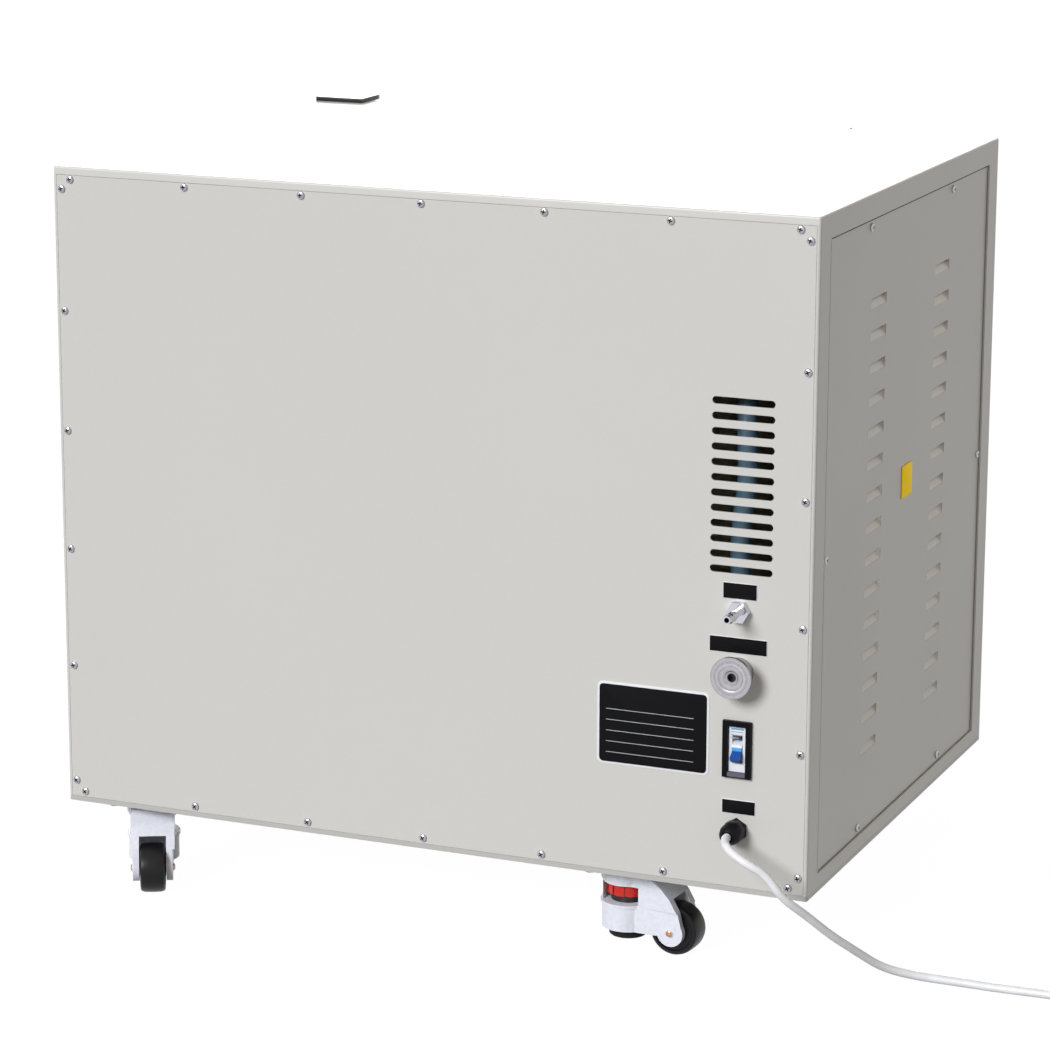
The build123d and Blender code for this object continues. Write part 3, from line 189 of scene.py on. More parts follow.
class Finish:
    """A node material on one Principled shader."""

    def __init__(self, name, base, roughness=0.5, **constants):
        self.material = bpy.data.materials.new(name)
        self.material.use_nodes = True
        self.tree = self.material.node_tree
        self.shader = self.tree.nodes["Principled BSDF"]
        self.place = self.node("ShaderNodeTexCoord", output="Object")
        self.base = (*base[:3], 1)
        self.shader.inputs["Base Color"].default_value = self.base
        self.shader.inputs["Roughness"].default_value = roughness
        for socket, value in constants.items():
            self.shader.inputs[socket.replace("_", " ")].default_value = value

    def node(self, kind, settings=None, inputs=None, output=0):
        """Adds a node: its settings first, then its sockets by name or number."""
        node = self.tree.nodes.new(kind)
        for name, value in (settings or {}).items():
            setattr(node, name, value)
        for name, value in (inputs or {}).items():
            if isinstance(value, Value):
                self.tree.links.new(value.socket, node.inputs[name])
            else:
                node.inputs[name].default_value = value
        return Value(self, node.outputs[output])

    def feed(self, socket, value):
        """Links a value to a socket of the shader."""
        self.tree.links.new(value.socket, self.shader.inputs[socket])
        return self

    def axis(self, name):
        """One coordinate of the piece."""
        return self.node("ShaderNodeSeparateXYZ", None, {0: self.place}, name)

    def noise(self, scale, detail=3, stretch=(1, 1, 1)):
        """Cloudy variation from 0 to 1; scale is in features for each metre."""
        place = self.node(
            "ShaderNodeVectorMath", {"operation": "MULTIPLY"}, {0: self.place, 1: stretch}
        )
        return self.node(
            "ShaderNodeTexNoise", None, {"Vector": place, "Scale": scale, "Detail": detail}
        )

    def mix(self, first, second, share):
        """Goes from one colour to another by a value."""
        return self.node(
            "ShaderNodeMix", {"data_type": "RGBA"}, {0: share, 6: first, 7: second}, 2
        )

    def shade(self, amount, tint=None):
        """The base colour, or a given one, made lighter or darker by a value."""
        return self.node(
            "ShaderNodeVectorMath",
            {"operation": "SCALE"},
            {0: tint or self.base[:3], "Scale": amount},
        )

    def bump(self, height, depth):
        """Raises the surface by up to depth metres."""
        return self.feed("Normal", self.node(
            "ShaderNodeBump", None, {"Height": height, "Distance": depth, "Strength": 1.0}
        ))


def enamel(name, base, roughness=0.36, mottle=0.03):
    """Baked enamel: slight mottle, fine grain and orange peel."""
    finish = Finish(name, base, roughness, Coat_Weight=0.1, Coat_Roughness=0.22)
    clouds = finish.noise(4, 4)
    grain = finish.noise(650, 2)
    tone = clouds * mottle + grain * 0.05 + (1 - mottle / 2 - 0.025)
    finish.feed("Base Color", finish.shade(tone))
    finish.feed("Roughness", clouds * 0.1 + (roughness - 0.05))
    return finish.bump(finish.noise(420, 2), 0.05 * MM)


def moulding(name, base, roughness=0.45, grain=900, depth=0.04, shine=0.5):
    """Moulded plastic or rubber with a fine spark-eroded grain."""
    finish = Finish(name, base, roughness, Specular_IOR_Level=shine)
    clouds = finish.noise(60, 4)
    finish.feed("Base Color", finish.shade(clouds * 0.3 + 0.85))
    finish.feed("Roughness", clouds * 0.16 + (roughness - 0.08))
    return finish.bump(finish.noise(grain, 3), depth * MM)


def metal(name, base, roughness=0.25, stretch=(1, 1, 1), scale=500, depth=0.02, spread=0.25):
    """Bare or plated metal; a stretch draws the noise out into brush marks."""
    finish = Finish(name, base, roughness, Metallic=1.0)
    marks = finish.noise(scale, 4, stretch)
    clouds = finish.noise(25, 3)
    finish.feed("Base Color", finish.shade(marks * 0.16 + clouds * 0.1 + 0.87))
    finish.feed("Roughness", marks * spread + clouds * 0.1 + (roughness - spread / 2 - 0.05))
    return finish.bump(marks, depth * MM)


def printed(name, base, roughness=0.4, shine=0.5):
    """Printed or painted surface of a plate, dial or mark."""
    finish = Finish(name, base, roughness, Specular_IOR_Level=shine)
    clouds = finish.noise(120, 3)
    finish.feed("Base Color", finish.shade(clouds * 0.16 + 0.92))
    return finish.feed("Roughness", clouds * 0.2 + (roughness - 0.1))


def glowing(name, base):
    """Lit segments of a display."""
    finish = Finish(name, base, 0.4, Emission_Strength=2.0)
    return finish.feed("Emission Color", finish.shade(finish.noise(900, 2) * 0.3 + 0.85))


def shell_paint(colours):
    """The casing's enamel on the shell: its lowest edge in shade, its top bend catching light."""
    finish = enamel("shell_paint", colours.casing)
    height = finish.axis("Z")
    rear = finish.axis("Y").step(rear_y - 4 * MM, rear_y - 3 * MM)
    # painted shade darkening the lowest 5 mm of the shell
    lowest = 1 - height.step(cabinet_low.z + 4.5 * MM, cabinet_low.z + 5.5 * MM)
    # painted highlight on the top bend of the rear edge
    top_bend_highlight = height.step(cabinet_high.z - 8.5 * MM, cabinet_high.z - 6.5 * MM) * rear
    # painted light on the walls of the side panels' recesses, which lie in shade
    depth = -cabinet_low.x - abs(finish.axis("X"))
    recess_wall_light = depth.step(0.1 * MM, 0.4 * MM) * (1 - depth.step(1.7 * MM, 1.9 * MM)) * (1 - rear)
    tone = finish.noise(4, 4) * 0.03 + 0.97 + top_bend_highlight * 0.07 - lowest * 0.2 + recess_wall_light * 0.35
    return finish.feed("Base Color", finish.shade(tone))


def louvred_paint(colours):
    """The casing's enamel on a side panel, with a painted highlight on its pressed louvres and
    painted shade at their slots.
    """
    finish = enamel("louvred_paint", colours.casing)
    depth = -side_x - abs(finish.axis("X"))
    # painted highlight on the pressed louvres and painted shade in their slots
    louvre_light_and_shade = depth.step(0.2 * MM, 0.8 * MM) * 0.42 - depth.step(3 * MM, 4.4 * MM) * 1.05
    tone = finish.noise(4, 4) * 0.03 + 0.97
    return finish.feed("Base Color", finish.shade(tone + louvre_light_and_shade))


def turned_steel(colours):
    """The vacuum port's turned steel: fine rings round its axis, a painted highlight on the lip and
    painted shade darkening its mouth.
    """
    finish = Finish("turned_steel", linear(176, 175, 180), 0.34, Metallic=1.0)
    sideways = finish.axis("X") - port_x
    upwards = finish.axis("Z") - middle("vacuum_port").z
    radius = (sideways * sideways + upwards * upwards).root()
    rings = radius.wave(0.8 * MM) * 0.6 + radius.wave(4.2 * MM) * 0.4
    wide = finish.noise(300, 3)
    # painted shade darkening the mouth and bore
    hollow = radius.step(3.6 * MM, 5.4 * MM) * 0.88 + 0.12
    # painted highlight on the lip of the mouth
    lip_highlight = radius.step(12.2 * MM, 12.8 * MM) * (1 - radius.step(13.2 * MM, 13.8 * MM))
    finish.feed("Base Color", finish.shade((rings * 0.34 + wide * 0.2 + lip_highlight * 0.3 + 0.66) * hollow))
    finish.feed("Roughness", rings * 0.14 + wide * 0.12 + 0.2)
    return finish.bump(rings, 0.03 * MM)


def wool(colours):
    """Mineral wool: matted fibres under a dusty surface."""
    finish = Finish("wool", linear(196, 188, 160), 0.95)
    fibres = finish.noise(240, 5, (1, 5, 1))
    lumps = finish.noise(30, 4)
    finish.feed("Base Color", finish.shade(fibres * 0.5 + lumps * 0.3 + 0.55))
    return finish.bump(fibres * 0.5 + lumps, 1.5 * MM)


def black_enamel(colours):
    """Thin glossy black enamel, cloudy where it runs."""
    finish = Finish(
        "black_enamel", linear(20, 21, 28), 0.3, Coat_Weight=0.15, Coat_Roughness=0.2,
        Specular_IOR_Level=0.2,
    )
    clouds = finish.noise(90, 3)
    finish.feed("Base Color", finish.shade(clouds * 0.5 + 0.75))
    finish.feed("Roughness", clouds * 0.1 + 0.25)
    return finish.bump(finish.noise(260, 2), 0.03 * MM)


def clear_glass(colours):
    """Tempered glass, faintly green and wiped upwards."""
    finish = Finish("clear_glass", linear(242, 248, 246), 0.03, IOR=1.45, Transmission_Weight=1.0)
    wipes = finish.noise(14, 4, (1, 1, 3))
    return finish.feed("Roughness", wipes * 0.03)


def breaker_blue(colours):
    """The toggle: white drum, then pale where its top catches the light, deep blue below."""
    finish = Finish("breaker_blue", colours.toggle, 0.32, Specular_IOR_Level=0.3)
    low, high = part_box("breaker_toggle")
    tall = high.z - low.z
    height = finish.axis("Z")
    clouds = finish.noise(300, 3)
    body = finish.shade(clouds * 0.2 + 0.9)
    # painted highlight: pale blue where the toggle's top would catch the light
    crest = height.step(low.z + 0.5 * tall, low.z + 0.56 * tall)
    drum = height.step(low.z + 0.72 * tall, low.z + 0.74 * tall)
    lit = finish.mix(body, (*linear(96, 172, 226), 1), crest)
    finish.feed("Base Color", finish.mix(lit, (*linear(222, 228, 236), 1), drum))
    return finish.bump(clouds, 0.03 * MM)


def breaker_frame(colours):
    """Black frame, with painted light turning the slope at the foot of its opening grey."""
    finish = Finish("breaker_frame", linear(9, 9, 13), 0.4, Specular_IOR_Level=0.08)
    height = finish.axis("Z") - middle("breaker_bezel").z
    sideways = abs(finish.axis("X") - port_x)
    # painted light: the slope at the foot of the opening is lit grey on the black frame
    slope = height.step(-26.6 * MM, -26.2 * MM) * (1 - height.step(-22.2 * MM, -22 * MM))
    slope = slope * (1 - sideways.step(8.6 * MM, 9 * MM))
    clouds = finish.noise(60, 4) * 0.3 + 0.85
    finish.feed("Base Color", finish.mix(
        finish.shade(clouds), finish.shade(clouds, linear(110, 106, 120)), slope
    ))
    return finish.bump(finish.noise(900, 3), 0.03 * MM)


def cast_bracket(colours):
    """Die casting under silver-white paint: pebbled, with painted shade that darkens the hollows of
    the pebbling.
    """
    finish = Finish("cast_bracket", colours.casting, 0.42, Coat_Weight=0.3, Coat_Roughness=0.3)
    pebbles = finish.noise(260, 4)
    lumps = finish.noise(60, 3)
    # the pebbles that raise the surface also lighten it, so their hollows get painted shade
    finish.feed("Base Color", finish.shade(pebbles * 0.22 + lumps * 0.1 + 0.84))
    finish.feed("Roughness", pebbles * 0.25 + 0.3)
    return finish.bump(pebbles * 0.6 + lumps, 0.5 * MM)


def level_red(colours):
    """The levelling wheel: a red rim on a black hub."""
    finish = Finish("level_red", colours.leveller, 0.3)
    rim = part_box("level_wheel_rear_left")[0].z + 6.7 * MM
    clouds = finish.noise(60, 4)
    red = finish.shade(clouds * 0.3 + 0.85)
    above = finish.axis("Z").step(rim - 0.2 * MM, rim + 0.2 * MM)
    finish.feed("Base Color", finish.mix((*linear(24, 22, 24), 1), red, above))
    finish.feed("Roughness", clouds * 0.16 + 0.22)
    return finish.bump(finish.noise(300, 3), 0.08 * MM)


def plate_yellow(colours):
    """Yellow print with a painted glow: it gives off a little light of its own, so that it looks
    brighter than the light that falls on it.
    """
    finish = printed("plate_yellow", colours.yellow, 0.5, 0.1)
    # painted glow: a weak emission in the plate's own yellow
    finish.shader.inputs["Emission Color"].default_value = (*colours.yellow, 1)
    finish.shader.inputs["Emission Strength"].default_value = 0.28
    return finish


OWN_FINISHES = {maker.__name__: maker for maker in (
    shell_paint, louvred_paint, turned_steel, wool, black_enamel, clear_glass, breaker_blue,
    breaker_frame, cast_bracket, level_red, plate_yellow,
)}
# kind of surface, colour by its setting or as a display colour, and what differs from the kind
PLAIN_FINISHES = {
    "casing_paint": (enamel, "casing", {}),
    "door_paint": (enamel, "door", dict(roughness=0.32)),
    "panel_grey": (enamel, "panel", dict(roughness=0.42, mottle=0.08)),
    "gauge_case": (enamel, (30, 31, 34), dict(roughness=0.3, mottle=0.2)),
    "screw_chrome": (metal, (168, 168, 175), dict(roughness=0.26, scale=900)),
    "handle_chrome": (metal, (214, 214, 218), dict(roughness=0.24, scale=300)),
    "vent_chrome": (
        metal, (204, 204, 212), dict(roughness=0.16, scale=300, depth=0.004, spread=0.1)
    ),
    "stainless": (metal, (196, 195, 192), dict(roughness=0.3, stretch=(1, 1, 14), scale=90)),
    "heater_foil": (metal, (206, 207, 210), dict(roughness=0.3, scale=60, depth=0.6)),
    "caster_steel": (metal, (150, 150, 152), dict(roughness=0.38, scale=200, depth=0.05)),
    "axle_screw": (metal, (176, 140, 118), dict(roughness=0.3)),
    "plug_blades": (metal, (214, 190, 130), {}),
    # the cross recesses of the screws: near black, painted shade
    "painted_recess_shade": (moulding, (26, 26, 30), dict(roughness=0.6, shine=0.1)),
    "black_plastic": (moulding, (17, 17, 22), dict(roughness=0.38, shine=0.25)),
    "gland_black": (moulding, (11, 11, 17), dict(roughness=0.34, shine=0.12)),
    "silicone": (moulding, "seal", dict(roughness=0.55, grain=500, depth=0.08)),
    "hose_rubber": (moulding, "hose", dict(roughness=0.4, grain=300, depth=0.08)),
    "cord_white": (moulding, "cord", dict(roughness=0.42, grain=700, depth=0.05)),
    "breaker_white": (moulding, (236, 238, 242), dict(roughness=0.3)),
    "rocker_red": (moulding, (190, 24, 20), dict(roughness=0.25)),
    "key_grey": (moulding, (150, 153, 158), dict(roughness=0.5)),
    "wheel_nylon": (
        moulding, (15, 15, 18), dict(roughness=0.36, grain=500, depth=0.06, shine=0.25)
    ),
    "foot_rubber": (moulding, (20, 20, 24), dict(roughness=0.6, grain=400, depth=0.12, shine=0.2)),
    "plate_black": (printed, "plate", dict(roughness=0.5, shine=0.08)),
    "plate_edge": (printed, (240, 241, 245), {}),
    "plate_rule": (printed, (200, 202, 206), {}),
    "plate_yellow_edge": (printed, (214, 172, 20), {}),
    # painted shadow, painted shade and a painted highlight along the side panels' gaps
    "gap_painted_shadow": (printed, (38, 36, 34), dict(roughness=0.6, shine=0.1)),
    "gap_painted_shade": (printed, (120, 116, 110), dict(roughness=0.6, shine=0.1)),
    "gap_painted_highlight": (printed, (236, 234, 228), dict(roughness=0.5)),
    "breaker_rule_blue": (printed, (110, 170, 214), {}),
    "breaker_rule_grey": (printed, (168, 176, 188), {}),
    "needle_black": (printed, (24, 24, 27), {}),
    "dial_white": (printed, (244, 244, 240), dict(roughness=0.5)),
    "dial_black": (printed, (20, 20, 22), dict(roughness=0.5, shine=0.2)),
    "display_dark": (printed, (16, 12, 14), dict(roughness=0.12)),
    "digits_red": (glowing, (255, 48, 30), {}),
    "digits_green": (glowing, (70, 235, 90), {}),
    "lamp_off": (printed, (70, 16, 16), dict(roughness=0.3)),
    "key_ink": (printed, (24, 24, 26), dict(roughness=0.5, shine=0.2)),
    "mark_white": (printed, (238, 238, 240), dict(roughness=0.45)),
}


def finishes(colours, *names):
    """New finishes by their names, from their own functions or from the plain ones."""
    made = []
    for name in names:
        if name in OWN_FINISHES:
            made.append(OWN_FINISHES[name](colours))
        else:
            kind, base, settings = PLAIN_FINISHES[name]
            base = getattr(colours, base) if isinstance(base, str) else linear(*base)
            made.append(kind(name, base, **settings))
    return made


# ---------------------------------------------------------------- modelling
def facing(place, outward, up=UP):
    """Local x to the right, y up and z outwards, as seen by someone who faces the surface."""
    outward = Vector(outward).normalized()
    right = Vector(up).cross(outward).normalized()
    turn = Matrix((right, outward.cross(right), outward)).transposed()
    return Matrix.Translation(place) @ turn.to_4x4()


def lathe(profile, steps=48):
    """Turns a profile of (radius, height) points, in millimetres, about z."""
    shape = bmesh.new()
    points = [shape.verts.new((radius * MM, 0, height * MM)) for radius, height in profile]
    edges = [shape.edges.new(pair) for pair in zip(points, points[1:])]
    bmesh.ops.spin(
        shape, geom=points + edges, cent=(0, 0, 0), axis=(0, 0, 1), angle=tau, steps=steps,
        use_merge=True,
    )
    bmesh.ops.remove_doubles(shape, verts=shape.verts, dist=SMALL)
    bmesh.ops.recalc_face_normals(shape, faces=shape.faces)
    return shape


def at_height(shape, height):
    """The edges of a shape that lie at one height."""
    return [e for e in shape.edges if all(abs(v.co.z - height) < SMALL for v in e.verts)]


def raised(shape, depth):
    """Draws a flat shape up from local z = 0 into a solid."""
    grown = bmesh.ops.extrude_face_region(shape, geom=shape.faces[:])
    top = [item for item in grown["geom"] if isinstance(item, bmesh.types.BMVert)]
    bmesh.ops.translate(shape, vec=(0, 0, depth), verts=top)
    bmesh.ops.recalc_face_normals(shape, faces=shape.faces)
    return shape


def band(inner, outer, first=0.0, sweep=360.0, depth=0.1, steps=72):
    """A raised band round part of a circle: radii and depth in mm, angles in degrees."""
    shape = bmesh.new()
    ends = [shape.verts.new((radius * MM, 0, 0)) for radius in (inner, outer)]
    bmesh.ops.rotate(shape, matrix=turned(first).to_3x3(), verts=ends)
    bmesh.ops.spin(
        shape, geom=[*ends, shape.edges.new(ends)], cent=(0, 0, 0), axis=(0, 0, 1),
        angle=radians(sweep), steps=steps, use_merge=sweep == 360,
    )
    bmesh.ops.remove_doubles(shape, verts=shape.verts, dist=SMALL)
    return raised(shape, depth * MM)


def slab(width, height, depth, corner=0.0, edge=0.0, sides=0):
    """A plate on local z = 0 with rounded corners and a softened outer rim, in metres.
    With sides it is a regular polygon of that many sides and width across its corners."""
    shape = bmesh.new()
    if sides:
        bmesh.ops.create_circle(shape, cap_ends=True, radius=width / 2, segments=sides)
    else:
        bmesh.ops.create_grid(shape, x_segments=1, y_segments=1, size=0.5)
        bmesh.ops.scale(shape, vec=(width, height, 1), verts=shape.verts)
    if corner:
        bmesh.ops.bevel(
            shape, geom=shape.verts[:], offset=corner, affect="VERTICES", segments=6,
            profile=0.5, material=-1,
        )
    raised(shape, depth)
    if edge:
        bmesh.ops.bevel(
            shape, geom=at_height(shape, depth), offset=edge, affect="EDGES", segments=3,
            profile=0.5, material=-1,
        )
    return shape


def stamp(target, source, place, finish=0):
    """Copies a shape into another one at a place, with its number of finish."""
    mesh = bpy.data.meshes.new("stamp")
    source.to_mesh(mesh)
    mesh.transform(place)
    for face in mesh.polygons:
        face.material_index += finish
    target.from_mesh(mesh)
    bpy.data.meshes.remove(mesh)
    return target


def shape_of(obj):
    """A shape from an object with its modifiers applied; the object is removed."""
    graph = bpy.context.evaluated_depsgraph_get()
    mesh = bpy.data.meshes.new_from_object(obj.evaluated_get(graph))
    shape = bmesh.new()
    shape.from_mesh(mesh)
    bpy.data.meshes.remove(mesh)
    bpy.data.objects.remove(obj)
    return shape


def loose(name, shape):
    """A bare object from a shape, for a modifier to work on."""
    mesh = bpy.data.meshes.new(name)
    shape.to_mesh(mesh)
    shape.free()
    obj = bpy.data.objects.new(name, mesh)
    bpy.context.scene.collection.objects.link(obj)
    return obj


def carved(shape, cutter):
    """A shape less a cutter."""
    body = loose("body", shape)
    tool = loose("tool", cutter)
    modifier = body.modifiers.new("cut", "BOOLEAN")
    modifier.operation = "DIFFERENCE"
    modifier.solver = "EXACT"
    modifier.use_self = True
    modifier.object = tool
    bpy.context.view_layer.update()
    result = shape_of(body)
    bpy.data.objects.remove(tool)
    return result


def across(x, y, z=0.0):
    """A shift in millimetres within a surface and above it."""
    return Matrix.Translation((x * MM, y * MM, z * MM))


def turned(angle):
    """A turn in degrees within a surface."""
    return Matrix.Rotation(radians(angle), 4, "Z")


def screw_head(recess):
    """A pan head with a cross recess of the second finish, which paints the shade in the recess,
    and a short shank.
    """
    dome = lathe([
        (0, -5), (1.8, -5), (2, -4.6), (2, 0), (3.9, 0), (4, 0.3), (3.95, 0.9), (3.6, 1.6),
        (2.8, 2.1), (1.6, 2.35), (0, 2.4),
    ], 28)
    cross = bmesh.new()
    floor, slack = 1.1 * MM, 0.05 * MM
    bar = slab(recess, 1.1 * MM, 3 * MM)
    for angle in (0, 90):
        stamp(cross, bar, across(0, 0, floor / MM) @ turned(angle))
    head = carved(dome, cross)
    head.normal_update()
    # faces of the recess floor and walls take the second finish: painted shade in the cross recess
    for face in head.faces:
        centre = face.calc_center_median()
        if centre.xy.length < recess / 2 + 2 * slack and centre.z > floor - slack:
            on_floor, on_wall = centre.z < floor + slack, abs(face.normal.z) < 0.2
            face.material_index = int(on_floor or on_wall)
    return head


def lettering(text, size):
    """Numerals as a thin shape, centred on the origin, in metres."""
    curve = bpy.data.curves.new("numeral", "FONT")
    curve.body = text
    curve.size = size
    curve.align_x = "CENTER"
    curve.align_y = "CENTER"
    curve.extrude = 0.05 * MM
    obj = bpy.data.objects.new("numeral", curve)
    bpy.context.scene.collection.objects.link(obj)
    bpy.context.view_layer.update()
    shape = shape_of(obj)
    bpy.data.curves.remove(curve)
    return shape


def piece(name, shape, coats, body="cabinet", slot=None, crease=35):
    """Makes a shape a piece that rides on a body, with sharp edges where it turns by the crease."""
    obj = loose(name, shape)
    for coat in coats:
        obj.data.materials.append(coat.material)
    for face in obj.data.polygons:
        face.use_smooth = True
    obj.data.set_sharp_from_angle(angle=radians(crease))
    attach(obj, body)
    if slot:
        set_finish(obj, slot)
    return obj


def solids(node):
    """The box of each separate solid in a CAD node."""
    shape = bmesh.new()
    shape.from_mesh(frame["nodes"][node].data)
    bmesh.ops.remove_doubles(shape, verts=shape.verts, dist=5 * SMALL)
    boxes = []
    waiting = set(shape.verts)
    while waiting:
        reached = [waiting.pop()]
        corners = []
        while reached:
            vertex = reached.pop()
            corners.append(vertex.co.copy())
            for edge in vertex.link_edges:
                other = edge.other_vert(vertex)
                if other in waiting:
                    waiting.remove(other)
                    reached.append(other)
        boxes.append((
            Vector(map(min, *[tuple(c) for c in corners])),
            Vector(map(max, *[tuple(c) for c in corners])),
        ))
    shape.free()
    return sorted(boxes, key=lambda box: tuple(round(v, 4) for v in (*box[0], *box[1])))


# ---------------------------------------------------------------- operators
STUDIO = {
    "camera": Vector((-1.4477, 3.4726, 1.2556)),
    "azimuth": radians(202.933),
    "elevation": radians(13.641),
    "roll": radians(0.176),
}
SKY_TINT = (1, 0.935, 0.885, 1)
AMBIENT = 0.312
BACKDROP = 1.13
# direction that each lamp shines from, its strength, angular size and tint
LAMPS = {
    "key": (Vector((0.25, 0.85, 0.46)), 2.7, radians(24), (0.915, 0.94, 0.98)),
    "front_fill": (Vector((0.5, -0.86, 0.02)), 2.0, radians(40), (1, 1, 1)),
}
FLOOR_TONE = 0.25
FLOOR_GLOW = 1.26
FLOOR_GLOW_SHARE = 0.78


class OVEN_OT_stage(bpy.types.Operator):
    """Set up the camera, the lamps and a plain pale floor"""
    bl_idname = "oven.stage"
    bl_label = "Stage"
    bl_options = {"REGISTER", "UNDO"}

    def execute(self, context):
        scene = context.scene
        scene.view_settings.view_transform = "Standard"
        self.camera(scene, scene.oven_sizes.lens)
        for name, (source, strength, spread, tint) in LAMPS.items():
            lamp = bpy.data.lights.new(name, "SUN")
            lamp.energy = strength
            lamp.angle = spread
            lamp.color = tint
            obj = bpy.data.objects.new(name, lamp)
            scene.collection.objects.link(obj)
            obj.rotation_mode = "QUATERNION"
            obj.rotation_quaternion = source.to_track_quat("Z", "Y")
        self.world(scene)
        self.floor()
        return {"FINISHED"}

    def camera(self, scene, lens):
        """A camera at its place, turned by its azimuth, elevation and roll."""
        azimuth, elevation = STUDIO["azimuth"], STUDIO["elevation"]
        back = Vector((
            sin(azimuth) * cos(elevation), -cos(azimuth) * cos(elevation), sin(elevation)
        ))
        level = UP.cross(back).normalized()
        upright = back.cross(level)
        right = level * cos(STUDIO["roll"]) + upright * sin(STUDIO["roll"])
        data = bpy.data.cameras.new("camera")
        data.sensor_width = 36
        data.lens = lens
        data.clip_end = 100
        camera = bpy.data.objects.new("camera", data)
        scene.collection.objects.link(camera)
        turn = Matrix((right, back.cross(right), back)).transposed()
        camera.matrix_world = Matrix.Translation(STUDIO["camera"]) @ turn.to_4x4()
        scene.camera = camera

    def world(self, scene):
        """An even backdrop that lights the oven less than it shows."""
        world = bpy.data.worlds.new("studio")
        world.use_nodes = True
        scene.world = world
        nodes, links = world.node_tree.nodes, world.node_tree.links
        background = nodes["Background"]
        background.inputs["Color"].default_value = SKY_TINT
        path = nodes.new("ShaderNodeLightPath")
        level = nodes.new("ShaderNodeMapRange")
        level.inputs["To Min"].default_value = AMBIENT
        level.inputs["To Max"].default_value = BACKDROP
        links.new(self.seen_rays(nodes, links, path), level.inputs["Value"])
        links.new(level.outputs[0], background.inputs["Strength"])

    def seen_rays(self, nodes, links, path):
        """1 for rays from the camera, a mirror or glass."""
        total = path.outputs["Is Camera Ray"]
        for kind in ("Is Glossy Ray", "Is Transmission Ray"):
            larger = nodes.new("ShaderNodeMath")
            larger.operation = "MAXIMUM"
            links.new(total, larger.inputs[0])
            links.new(path.outputs[kind], larger.inputs[1])
            total = larger.outputs[0]
        return total

    def floor(self):
        """A matt floor that glows to the camera, so that it fades into the backdrop."""
        shape = bmesh.new()
        bmesh.ops.create_grid(shape, x_segments=1, y_segments=1, size=20)
        obj = loose("floor", shape)
        finish = Finish("floor", (FLOOR_TONE,) * 3, 0.9, Specular_IOR_Level=0.0)
        nodes, links = finish.tree.nodes, finish.tree.links
        glow = nodes.new("ShaderNodeEmission")
        glow.inputs["Strength"].default_value = FLOOR_GLOW
        path = nodes.new("ShaderNodeLightPath")
        share = nodes.new("ShaderNodeMath")
        share.operation = "MULTIPLY"
        share.inputs[1].default_value = FLOOR_GLOW_SHARE
        links.new(self.seen_rays(nodes, links, path), share.inputs[0])
        blend = nodes.new("ShaderNodeMixShader")
        links.new(share.outputs[0], blend.inputs[0])
        links.new(finish.shader.outputs[0], blend.inputs[1])
        links.new(glow.outputs[0], blend.inputs[2])
        links.new(blend.outputs[0], nodes["Material Output"].inputs["Surface"])
        obj.data.materials.append(finish.material)


